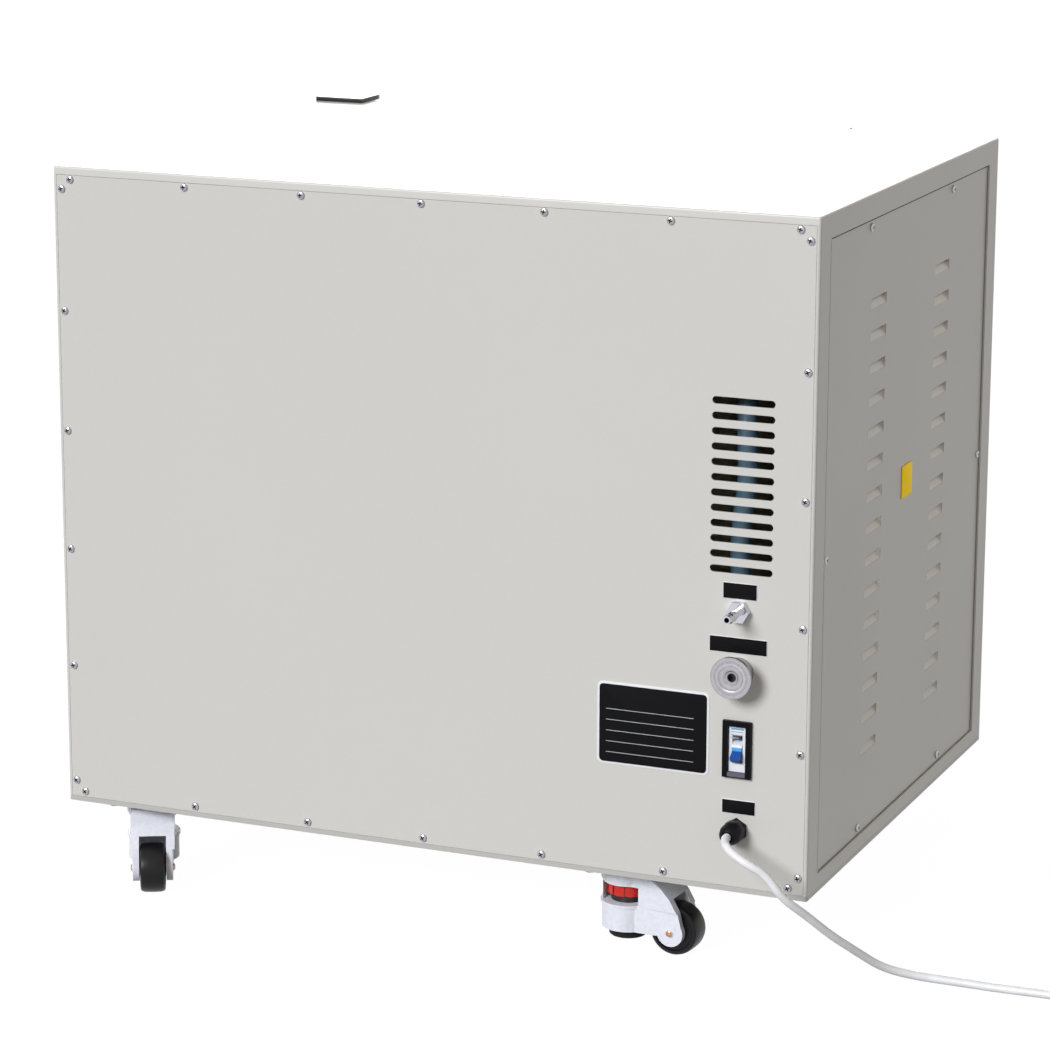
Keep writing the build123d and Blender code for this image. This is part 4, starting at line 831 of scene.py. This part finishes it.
class OVEN_OT_power_cord(bpy.types.Operator):
    """Lay the mains cord from the gland to its coil and plug"""
    bl_idname = "oven.power_cord"
    bl_label = "Mains cord"
    bl_options = {"REGISTER", "UNDO"}

    def execute(self, context):
        sizes, colours = context.scene.oven_sizes, context.scene.oven_colours
        exit_point = Vector((port_x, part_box("cable_gland")[1].y, middle("cable_gland").z))
        plug_middle = middle("power_plug")
        coil = middle("cord_coil")
        # sideways from the port, out from the rear panel and height, in millimetres
        free = [
            (-10.7, 50.4, 143.5), (-28.2, 54.8, 135.6), (-47.2, 49.5, 125.0), (-62.8, 48.2, 104.1),
            (-80.4, 30.0, 84.2), (-97.8, 9.9, 60.8), (-115.6, -13.4, 39.7), (-134.0, -36.1, 18.5),
            (-160.1, -54.0, 8.0), (-198, -63, 4.6), (-240, -63, 4.2), (-284, -66, 4.2),
            (-326, -65, 4.1), (-360, -66.5, 4.1),
        ]
        points = [exit_point, exit_point + Vector((0, 9.4 * MM, 0))]
        points += [Vector((port_x + x * MM, rear_y + y * MM, z * MM)) for x, y, z in free]
        points += self.turns(coil, sizes.cord_radius)
        # round the end of the coil and back into the boot
        bend = Vector((coil.x + 14 * MM, coil.y + 6 * MM, plug_middle.z))
        for angle in (15, 40, 65, 90):
            turn = Vector((cos(radians(angle)), sin(radians(angle)), 0))
            points.append(bend + turn * (plug_middle.y - bend.y))
        boot_end = Vector((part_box("power_plug")[1].x, plug_middle.y, plug_middle.z))
        points += [boot_end + LEFT * inside * MM for inside in (6, 12)]
        cord = self.tube(points, sizes.cord_radius)
        cord.data.materials.append(finishes(colours, "cord_white")[0].material)
        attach(cord, "cabinet")
        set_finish(cord, "cord_white")
        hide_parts("power_cord", "cord_coil")
        plug = self.plug(colours)
        return {"FINISHED"}

    def tube(self, points, radius):
        """A round tube along a smooth curve through the control points."""
        curve = bpy.data.curves.new("mains_cord", "CURVE")
        curve.dimensions = "3D"
        curve.bevel_depth = radius
        curve.bevel_resolution = 5
        curve.resolution_u = 8
        curve.use_fill_caps = True
        spline = curve.splines.new("NURBS")
        spline.points.add(len(points) - 1)
        for control, point in zip(spline.points, points):
            control.co = (*point, 1)
        spline.order_u = 3
        spline.use_endpoint_u = True
        cord = bpy.data.objects.new("mains_cord", curve)
        bpy.context.scene.collection.objects.link(cord)
        return cord

    def turns(self, coil, cord_z):
        """Control points of the coil: inwards along the floor, then back out on top."""
        pitch = 2 * cord_z
        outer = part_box("cord_coil")[1].x - coil.x - cord_z
        per_turn = 24
        start = radians(80)
        lower_turns, rise_turns, upper_turns, level_turns = 2.0, 0.35, 2.0, 0.44
        total = round((lower_turns + rise_turns + upper_turns + level_turns) * per_turn)
        lift = middle("power_plug").z - 3 * cord_z
        points = []
        for i in range(total + 1):
            turn = i / per_turn
            inwards = min(turn, lower_turns)
            outwards = min(max(0.0, turn - lower_turns - rise_turns), upper_turns)
            climbs = (
                self.eased((turn - lower_turns) / rise_turns) * pitch
                + self.eased((turn - total / per_turn) / level_turns + 1) * lift
            )
            radius = outer - pitch * (inwards - outwards)
            angle = start + turn * tau
            points.append(Vector((
                coil.x + radius * cos(angle), coil.y + radius * sin(angle),
                cord_z * 1.02 + climbs,
            )))
        return points

    def eased(self, share):
        """Goes smoothly from 0 to 1."""
        share = min(1.0, max(0.0, share))
        return share * share * (3 - 2 * share)

    def plug(self, colours):
        """The moulded plug with its ribbed boot, and its blades."""
        low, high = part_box("power_plug")
        size = high - low
        centre = middle("power_plug")
        back = facing((low.x + 52 * MM, centre.y, centre.z), LEFT)
        shape = bmesh.new()
        stamp(shape, slab(size.y, size.z, 34 * MM, 6 * MM, 3 * MM), back)
        boot = [(0, 1), (7.6, 1), (7.4, 0)]
        for i in range(5):
            wide, along = 7 - i * 0.38, -0.6 - 3.2 * i
            boot += [(wide - 0.9, along), (wide - 0.9, along - 0.9)]
            boot += [(wide, along - 1.2), (wide - 0.1, along - 2.9)]
        boot += [(4.6, -17.4), (4.2, -18), (0, -18)]
        stamp(shape, lathe(boot, 32), back)
        body = piece("plug_body", shape, finishes(colours, "cord_white"), slot="cord_white")
        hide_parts("power_plug")
        blades = bmesh.new()
        front = facing((low.x + 19 * MM, centre.y, low.z), LEFT)
        blade = slab(1.5 * MM, 6.4 * MM, 19 * MM, 0.3 * MM, 0.4 * MM)
        for side in (-1, 1):
            stamp(blades, blade, front @ across(side * 6.35, 7.2))
        pin = lathe([(2.4, 0), (2.4, 17), (1.8, 18.6), (0, 19)], 24)
        stamp(blades, pin, front @ across(0, 16))
        metalwork = piece(
            "plug_blades", blades, finishes(colours, "plug_blades"), slot="screw_chrome"
        )
        return [body, metalwork]


# nodes whose finish isn't the one that their slot names
NODE_FINISHES = {
    "cabinet_shell": "shell_paint", "left_side_panel": "louvred_paint",
    "right_side_panel": "louvred_paint", "vacuum_port": "turned_steel",
    "vent_port": "vent_chrome", "breaker_bezel": "breaker_frame", "gauge_needle": "needle_black",
}


class OVEN_OT_node_finishes(bpy.types.Operator):
    """Give each solid of the model its finish"""
    bl_idname = "oven.node_finishes"
    bl_label = "Finishes of the solids"
    bl_options = {"REGISTER", "UNDO"}

    def execute(self, context):
        colours = context.scene.oven_colours
        made = {}
        for part in frame["record"]["subparts"]:
            node, slot = part["node"], part["material_slot"]
            name = NODE_FINISHES.get(node, slot)
            if name not in made:
                made[name] = finishes(colours, name)[0].material
            obj = frame["nodes"][node]
            obj.data.materials.clear()
            obj.data.materials.append(made[name])
            obj["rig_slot"] = slot
        return {"FINISHED"}


class OVEN_OT_panel_screws(bpy.types.Operator):
    """Set pan-head cross-recess screws round the rear and side panels"""
    bl_idname = "oven.panel_screws"
    bl_label = "Panel screws"
    bl_options = {"REGISTER", "UNDO"}

    def execute(self, context):
        sizes, colours = context.scene.oven_sizes, context.scene.oven_colours
        head = screw_head(sizes.recess)
        heads = bmesh.new()
        for i, (low, high) in enumerate(solids("panel_screws")):
            centre = (low + high) / 2
            if high.y > rear_y:
                place = facing((centre.x, rear_y, centre.z), REAR)
            else:
                outward = RIGHT if centre.x > 0 else LEFT
                seat = -side_x if centre.x > 0 else side_x
                place = facing((seat, centre.y, centre.z), outward)
            stamp(heads, head, place @ turned(i * 137))
        # the second finish paints the shade in the cross recesses
        coats = finishes(colours, "screw_chrome", "painted_recess_shade")
        screws = piece("screw_heads", heads, coats, slot="screw_chrome", crease=28)
        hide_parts("panel_screws")
        return {"FINISHED"}


class OVEN_OT_rear_plates(bpy.types.Operator):
    """Fix the bare plates of the rear panel and the side panel"""
    bl_idname = "oven.rear_plates"
    bl_label = "Plates"
    bl_options = {"REGISTER", "UNDO"}

    def execute(self, context):
        sizes, colours = context.scene.oven_sizes, context.scene.oven_colours
        white, black, grey = finishes(colours, "plate_edge", "plate_black", "plate_rule")
        low_x, low_z = cabinet_low.x, cabinet_low.z
        thickness = sizes.plate_thickness
        # centre in from the cabinet's side and up from its bottom, then width and height
        small = {
            "vent_plate": (70.8, 292.4, 33.5, 15.5),
            "vacuum_plate": (71.7, 240.4, 56.8, 15.3),
            "power_plate": (68.8, 84.1, 33.2, 13.7),
        }
        for name, (inwards, up, width, height) in small.items():
            place = facing((low_x + inwards * MM, rear_y, low_z + up * MM), REAR)
            shape = self.plate(
                width * MM, height * MM, sizes.plate_edge, thickness, 0.3 * MM, place
            )
            piece(name, shape, [white, black])
        place = facing((low_x + 155.4 * MM, rear_y, low_z + 151.05 * MM), REAR)
        shape = self.plate(
            sizes.rating_width, sizes.rating_height, sizes.rating_edge, thickness, 5 * MM, place
        )
        rule = slab(88 * MM, 0.5 * MM, 0.1 * MM)
        for i in range(5):
            stamp(shape, rule, place @ across(-3, 14 - 10.6 * i, 2 * thickness / MM), 2)
        piece("rating_plate", shape, [white, black, grey])
        place = facing((side_x, rear_y - 286 * MM, low_z + 344 * MM), LEFT)
        shape = self.plate(
            sizes.yellow_size, sizes.yellow_size, 0.6 * MM, thickness, 1 * MM, place
        )
        piece("side_plate", shape, finishes(colours, "plate_yellow_edge", "plate_yellow"))
        return {"FINISHED"}

    def plate(self, width, height, edge, thickness, corner, place):
        """A plate with a rim of the first finish round a field of the second."""
        shape = stamp(bmesh.new(), slab(width, height, thickness, corner, 0.1 * MM), place)
        field = slab(
            width - 2 * edge, height - 2 * edge, 2 * thickness, max(corner - edge / 2, 0.2 * MM),
            0.1 * MM,
        )
        return stamp(shape, field, place, 1)


class OVEN_OT_panel_gaps(bpy.types.Operator):
    """Line the gaps round the side panels, dark where they lie in shade and pale where lit"""
    bl_idname = "oven.panel_gaps"
    bl_label = "Panel gaps"
    bl_options = {"REGISTER", "UNDO"}

    def execute(self, context):
        colours = context.scene.oven_colours
        shape = bmesh.new()
        # the strips paint light and shade along the gaps: painted shadow at the top, painted shade
        # at the bottom and front, a painted highlight at the rear
        dark, grey, pale = range(3)
        for side, outward, rearward in (("left", LEFT, -1), ("right", RIGHT, 1)):
            low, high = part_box(f"{side}_side_panel")
            face = low.x if side == "left" else high.x
            place = facing((face, (low.y + high.y) / 2, (low.z + high.z) / 2), outward)
            wide, tall = high.y - low.y, high.z - low.z
            top, edge = tall / MM / 2, wide / MM / 2
            stamp(shape, slab(wide, 1.6 * MM, 0.15 * MM), place @ across(0, top - 0.8), dark)
            stamp(shape, slab(wide, 0.8 * MM, 0.15 * MM), place @ across(0, 0.4 - top), grey)
            upright = slab(1.1 * MM, tall, 0.2 * MM)
            rise = (cabinet_high.x - abs(face)) / MM
            stamp(shape, upright, place @ across(rearward * (edge + 0.9), 0, rise), pale)
            stamp(shape, upright, place @ across(-rearward * (edge - 0.6), 0), grey)
        piece("panel_gaps", shape, finishes(colours, "gap_painted_shadow", "gap_painted_shade", "gap_painted_highlight"))
        return {"FINISHED"}


class OVEN_OT_rear_fittings(bpy.types.Operator):
    """Finish the cable gland, the breaker's face and the vacuum port's mouth"""
    bl_idname = "oven.rear_fittings"
    bl_label = "Rear fittings"
    bl_options = {"REGISTER", "UNDO"}

    def execute(self, context):
        colours = context.scene.oven_colours
        self.gland(colours)
        self.breaker(colours)
        self.dish(colours)
        return {"FINISHED"}

    def gland(self, colours):
        """A hexagon seat, a domed nut with eight flats and the rubber round the cord."""
        place = facing((port_x, rear_y, middle("cable_gland").z), REAR)
        reach = (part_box("cable_gland")[1].y - rear_y) / MM
        shape = bmesh.new()
        stamp(shape, slab(23 * MM, 0, 5 * MM, edge=0.8 * MM, sides=6), place)
        nut = bmesh.new()
        bmesh.ops.create_cone(
            nut, cap_ends=True, segments=8, radius1=11.4 * MM, radius2=11 * MM, depth=13 * MM
        )
        bmesh.ops.translate(nut, vec=(0, 0, 11.5 * MM), verts=nut.verts)
        bmesh.ops.bevel(
            nut, geom=nut.edges[:], offset=1.1 * MM, affect="EDGES", segments=2, profile=0.5,
            material=-1,
        )
        stamp(shape, nut, place @ turned(22.5))
        dome = lathe([
            (10.6, 15), (10.4, 18), (9.4, 21.5), (7.8, 24.2), (6.2, reach - 0.4),
            (5.4, reach), (4.6, reach - 0.3), (4.3, reach - 3), (0, reach - 3),
        ], 40)
        stamp(shape, dome, place)
        stamp(shape, lathe([(0, -14), (9, -14), (9, 0.5), (0, 0.5)], 32), place)
        stamp(shape, slab(26 * MM, 0, 5 * MM, sides=6), place @ across(0, 0, -6.5))
        gland = piece("gland_nut", shape, finishes(colours, "gland_black"), slot="black_plastic")
        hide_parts("cable_gland")

    def breaker(self, colours):
        """Printed rules on the breaker's white face: a thick blue one over three grey ones."""
        place = facing((port_x, rear_y + 1 * MM, middle("breaker_bezel").z), REAR)
        shape = bmesh.new()
        for i, (width, height) in enumerate(((13, 1.6), (12, 0.8), (12, 0.8), (8, 0.8))):
            bar = slab(width * MM, height * MM, 0.08 * MM)
            stamp(shape, bar, place @ across((width - 13) / 2, 19.5 - 2.9 * i), min(i, 1))
        piece("breaker_rules", shape, finishes(colours, "breaker_rule_blue", "breaker_rule_grey"))

    def dish(self, colours):
        """The turned mouth of the vacuum port, with its bore."""
        dish = lathe([
            (13, -3), (13, -1), (12.4, -0.9), (7, -1.3), (6.3, -2), (5.6, -2.8), (3.7, -2.9),
            (3.5, -9), (0, -9),
        ], 64)
        place = facing((port_x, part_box("vacuum_port")[1].y, middle("vacuum_port").z), REAR)
        shape = stamp(bmesh.new(), dish, place)
        piece("port_dish", shape, finishes(colours, "turned_steel"), slot="stainless")


class OVEN_OT_casters(bpy.types.Operator):
    """Add the bolts, wheels and axle screws of the levelling casters"""
    bl_idname = "oven.casters"
    bl_label = "Casters"
    bl_options = {"REGISTER", "UNDO"}

    def execute(self, context):
        colours = context.scene.oven_colours
        bolts = bmesh.new()
        bolt = slab(12 * MM, 0, 3.4 * MM, edge=0.6 * MM, sides=6)
        for low, high in solids("caster_plates"):
            centre = (low + high) / 2
            under_plate = facing((centre.x, centre.y, high.z - 4 * MM), -UP, REAR)
            for x in (-28.5, 28.5):
                for y in (-28.5, 28.5):
                    stamp(bolts, bolt, under_plate @ across(x, y))
        piece("caster_bolts", bolts, finishes(colours, "caster_steel"), slot="caster_steel")
        for corner in ("rear_left", "rear_right", "front_left", "front_right"):
            wheel = middle(f"caster_wheel_{corner}")
            foot = middle(f"level_foot_{corner}")
            trail = Vector((wheel.x - foot.x, wheel.y - foot.y, 0)).normalized()
            axle = UP.cross(trail)
            self.wheel(corner, wheel, axle, colours)
            self.axle_screws(corner, wheel, axle, colours)
        return {"FINISHED"}

    def wheel(self, corner, centre, axle, colours):
        """A nylon wheel with a rounded crown and a groove in each side."""
        half = [
            (4.1, -13), (9, -13), (9.5, -12.4), (12, -12.2), (13, -11.4), (19, -11.2), (20, -12.4),
            (22.4, -12.4), (24, -11), (24.8, -8), (25, -2),
        ]
        outline = half + [(radius, -along) for radius, along in reversed(half)] + half[:1]
        shape = stamp(bmesh.new(), lathe(outline, 64), facing(centre, axle))
        coats = finishes(colours, "wheel_nylon")
        tyre = piece(
            f"wheel_tyre_{corner}", shape, coats, f"wheel_{corner}", "wheel_nylon", crease=25
        )
        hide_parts(f"caster_wheel_{corner}")

    def axle_screws(self, corner, centre, axle, colours):
        """A slotted screw in each end of the wheel's axle."""
        shape = bmesh.new()
        head = carved(
            lathe([(0, 0), (3.4, 0), (3.3, 0.7), (2.2, 1.3), (0, 1.5)], 24),
            stamp(bmesh.new(), slab(3.4 * MM, 0.9 * MM, 2 * MM), across(0, 0, 0.7)),
        )
        for side in (-1, 1):
            outward = axle * side
            stamp(shape, head, facing(centre + outward * 21 * MM, outward))
        coats = finishes(colours, "axle_screw")
        piece(f"axle_screws_{corner}", shape, coats, f"bracket_{corner}", "screw_chrome")


class OVEN_OT_gauge(bpy.types.Operator):
    """Mark the vacuum gauge's dial and ring it with a chrome rim"""
    bl_idname = "oven.gauge"
    bl_label = "Vacuum gauge"
    bl_options = {"REGISTER", "UNDO"}

    def execute(self, context):
        sizes, colours = context.scene.oven_sizes, context.scene.oven_colours
        centre = middle("vacuum_gauge")
        front_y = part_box("vacuum_gauge")[0].y
        place = facing((instrument_x, front_y + 7 * MM, centre.z), FRONT)
        face = 0.3
        shape = stamp(bmesh.new(), band(1.6, 28.9, depth=face), place)
        stamp(shape, band(26, 26.4, -45, 270, 0.06), place @ across(0, 0, face), 1)
        last = 10 * (sizes.dial_numbers - 1)
        for i in range(last + 1):
            angle = 225 - 270 * i / last
            reach, width = 2.4, 0.25
            if i % 5 == 0:
                reach, width = 3.6, 0.45
            if i % 10 == 0:
                reach, width = 5, 0.7
                x, y = 17 * cos(radians(angle)), 17 * sin(radians(angle))
                number = lettering(str(100 * i // last), 5 * MM)
                stamp(shape, number, place @ across(x, y, face + 0.05), 1)
            tick = slab(reach * MM, width * MM, 0.06 * MM)
            stamp(shape, tick, place @ turned(angle) @ across(26.2 - reach / 2, 0, face), 1)
        piece("gauge_dial", shape, finishes(colours, "dial_white", "dial_black"))
        rim = lathe([
            (28.8, -1), (29.2, 0.6), (30, 1.4), (32.6, 1.6), (34.2, 0.6), (34.5, -0.8),
            (34.5, -5.7), (33, -5.7), (28.8, -1),
        ], 96)
        place = facing((instrument_x, front_y, centre.z), FRONT)
        chrome = finishes(colours, "handle_chrome")
        piece("gauge_rim", stamp(bmesh.new(), rim, place), chrome, slot="handle_chrome")
        cap = lathe([(1.7, 0), (3.4, 0), (3.3, 0.6), (2.4, 1), (1.7, 1)], 32)
        place = facing((instrument_x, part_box("gauge_needle")[0].y, centre.z), FRONT)
        piece("needle_cap", stamp(bmesh.new(), cap, place), chrome, "needle", "handle_chrome")
        return {"FINISHED"}


class OVEN_OT_controller(bpy.types.Operator):
    """Light the temperature controller's display and mark its keys"""
    bl_idname = "oven.controller"
    bl_label = "Temperature controller"
    bl_options = {"REGISTER", "UNDO"}

    def execute(self, context):
        colours = context.scene.oven_colours
        centre = middle("temperature_controller")
        front_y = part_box("temperature_controller")[0].y
        screen = facing((instrument_x, front_y + 1 * MM, centre.z + 10 * MM), FRONT)
        shape = stamp(bmesh.new(), slab(57 * MM, 39 * MM, 0.4 * MM, 1 * MM), screen)
        stamp(shape, self.digits("60.4", 14), screen @ across(2, 8.5, 0.4), 1)
        stamp(shape, self.digits("60.0", 9), screen @ across(5, -7.5, 0.4), 2)
        for i, finish in enumerate((1, 3, 3)):
            lamp = lathe([(1.3, 0), (1.2, 0.4), (0.7, 0.7), (0, 0.8)], 20)
            stamp(shape, lamp, screen @ across(-23, 12 - i * 9, 0.4), finish)
        piece("controller_display", shape, finishes(
            colours, "display_dark", "digits_red", "digits_green", "lamp_off"
        ))
        ink = finishes(colours, "key_ink")
        arrow = slab(5 * MM, 0, 0.12 * MM, sides=3)
        bar = slab(5 * MM, 1.2 * MM, 0.12 * MM, 0.3 * MM)
        for key, mark, angle in (("set", bar, 0), ("up", arrow, 0), ("down", arrow, 180)):
            centre = middle(f"key_{key}")
            place = facing((centre.x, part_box(f"key_{key}")[0].y, centre.z), FRONT)
            shape = stamp(bmesh.new(), mark, place @ turned(angle))
            piece(f"key_mark_{key}", shape, ink, f"{key}_key")
        return {"FINISHED"}

    def digits(self, text, height):
        """Numerals of seven segments, centred on the origin."""
        lit = {"0": "abcdef", "4": "fgbc", "6": "afgedc"}
        width, thick, pitch = height * 0.5, height * 0.11, height * 0.8
        bar = slab(width * 0.78 * MM, thick * MM, 0.12 * MM, thick * 0.4 * MM)
        places = {
            "a": (0, 1, 0), "g": (0, 0, 0), "d": (0, -1, 0),
            "f": (-0.5, 0.5, 90), "b": (0.5, 0.5, 90), "e": (-0.5, -0.5, 90), "c": (0.5, -0.5, 90),
        }
        shape = bmesh.new()
        x = -pitch * (len(text) - 2) / 2
        for letter in text:
            if letter == ".":
                dot = slab(thick * MM, thick * MM, 0.12 * MM)
                stamp(shape, dot, across(x - pitch / 2, -width))
                continue
            for segment in lit[letter]:
                right, up, angle = places[segment]
                stamp(shape, bar, across(x + right * width, up * width) @ turned(angle))
            x += pitch
        return shape


class OVEN_OT_controls(bpy.types.Operator):
    """Put pointers on the knobs, scales round them and marks on the rocker"""
    bl_idname = "oven.controls"
    bl_label = "Knobs and rocker"
    bl_options = {"REGISTER", "UNDO"}

    def execute(self, context):
        colours = context.scene.oven_colours
        white = finishes(colours, "mark_white")
        chrome = finishes(colours, "handle_chrome")
        cap = lathe([(0, 0.9), (6.4, 0.9), (7.2, 0.5), (7.4, 0), (7.4, -0.5), (0, -0.5)], 40)
        pointer = slab(1.6 * MM, 8 * MM, 0.25 * MM, 0.4 * MM)
        for name in ("vacuum", "vent"):
            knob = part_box(f"{name}_valve_knob")
            height = middle(f"{name}_valve_knob").z
            place = facing((instrument_x, knob[0].y, height), FRONT)
            body = f"{name}_knob"
            shape = stamp(bmesh.new(), pointer, place @ across(0, 12.2))
            piece(f"{name}_pointer", shape, white, body)
            piece(f"{name}_cap", stamp(bmesh.new(), cap, place), chrome, body, "handle_chrome")
            place = facing((instrument_x, panel_y, height), FRONT)
            scale = stamp(bmesh.new(), band(24, 24.5, -45, 270, 0.08), place)
            for i in range(11):
                tick = slab((4 if i % 5 == 0 else 2.5) * MM, 0.6 * MM, 0.08 * MM)
                stamp(scale, tick, place @ turned(225 - 27 * i) @ across(26.2, 0))
            piece(f"{name}_scale", scale, white)
        self.rocker(white)
        return {"FINISHED"}

    def rocker(self, white):
        """A bar on the half that switches on and a ring on the other."""
        front_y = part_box("switch_housing")[0].y
        axis = Vector((instrument_x, front_y + 6 * MM, middle("switch_housing").z))
        tilt = radians(8)
        out = Vector((0, -cos(tilt), -sin(tilt)))
        down = Vector((0, sin(tilt), -cos(tilt)))
        shape = bmesh.new()
        marks = ((-1, slab(1.1 * MM, 5 * MM, 0.1 * MM)), (1, band(1.7, 2.6)))
        for side, mark in marks:
            normal = (out * 12.2 - down * 1.2 * side).normalized()
            place = axis + (out * 4.4 + down * 6.1 * side) * MM
            stamp(shape, mark, facing(place, normal, -down))
        piece("rocker_marks", shape, white, "rocker")


class OVEN_OT_door_fittings(bpy.types.Operator):
    """Set the screws of the window frame and the lower hinge"""
    bl_idname = "oven.door_fittings"
    bl_label = "Door fittings"
    bl_options = {"REGISTER", "UNDO"}

    def execute(self, context):
        sizes, colours = context.scene.oven_sizes, context.scene.oven_colours
        # the second finish paints the shade in the cross recesses
        coats = finishes(colours, "screw_chrome", "painted_recess_shade")
        head = screw_head(sizes.recess)
        low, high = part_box("window_bezel")
        centre = middle("window_bezel")
        half_x, half_z = (high.x - low.x) / 2 - 10 * MM, (high.z - low.z) / 2 - 10 * MM
        shape = bmesh.new()
        small = Matrix.Diagonal((0.8, 0.8, 0.7, 1))
        steps = [-1, -1 / 3, 1 / 3, 1]
        for x in steps:
            for z in steps:
                if max(abs(x), abs(z)) == 1:
                    place = facing((centre.x + x * half_x, low.y, centre.z + z * half_z), FRONT)
                    stamp(shape, head, place @ turned(x * 50 + z * 170) @ small)
        piece("window_screws", shape, coats, "door", "screw_chrome", crease=28)
        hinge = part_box("hinge_brackets")
        front_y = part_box("front_fascia")[0].y
        shape = bmesh.new()
        for side in (-1, 1):
            x = middle("hinge_brackets").x + side * 17 * MM
            foot = facing((x, front_y - 5 * MM, hinge[0].z + 7 * MM), FRONT)
            stamp(shape, head, foot @ turned(side * 70) @ Matrix.Diagonal((0.9, 0.9, 0.7, 1)))
        piece("hinge_screws", shape, coats, slot="screw_chrome", crease=28)
        return {"FINISHED"}


class OVEN_PT_dressing(bpy.types.Panel):
    """Lists the steps and the settings in the sidebar"""
    bl_idname = "OVEN_PT_dressing"
    bl_label = "Vacuum Oven"
    bl_space_type = "VIEW_3D"
    bl_region_type = "UI"
    bl_category = "Oven"

    def draw(self, context):
        for cls in CLASSES:
            if issubclass(cls, bpy.types.Operator):
                self.layout.operator(cls.bl_idname)
        for settings in (context.scene.oven_sizes, context.scene.oven_colours):
            box = self.layout.box()
            for name in settings.__annotations__:
                box.prop(settings, name)


CLASSES = (
    OvenSizes, OvenColours, OVEN_OT_stage, OVEN_OT_power_cord, OVEN_OT_node_finishes,
    OVEN_OT_panel_screws, OVEN_OT_rear_plates, OVEN_OT_panel_gaps, OVEN_OT_rear_fittings,
    OVEN_OT_casters, OVEN_OT_gauge, OVEN_OT_controller, OVEN_OT_controls, OVEN_OT_door_fittings,
    OVEN_PT_dressing,
)


def register():
    for cls in CLASSES:
        bpy.utils.register_class(cls)
    bpy.types.Scene.oven_sizes = PointerProperty(type=OvenSizes)
    bpy.types.Scene.oven_colours = PointerProperty(type=OvenColours)


def unregister():
    del bpy.types.Scene.oven_colours
    del bpy.types.Scene.oven_sizes
    for cls in reversed(CLASSES):
        bpy.utils.unregister_class(cls)


def main():
    register()
    for cls in CLASSES:
        if issubclass(cls, bpy.types.Operator):
            getattr(bpy.ops.oven, cls.bl_idname.split(".")[1])()


if __name__ == "__main__":
    main()
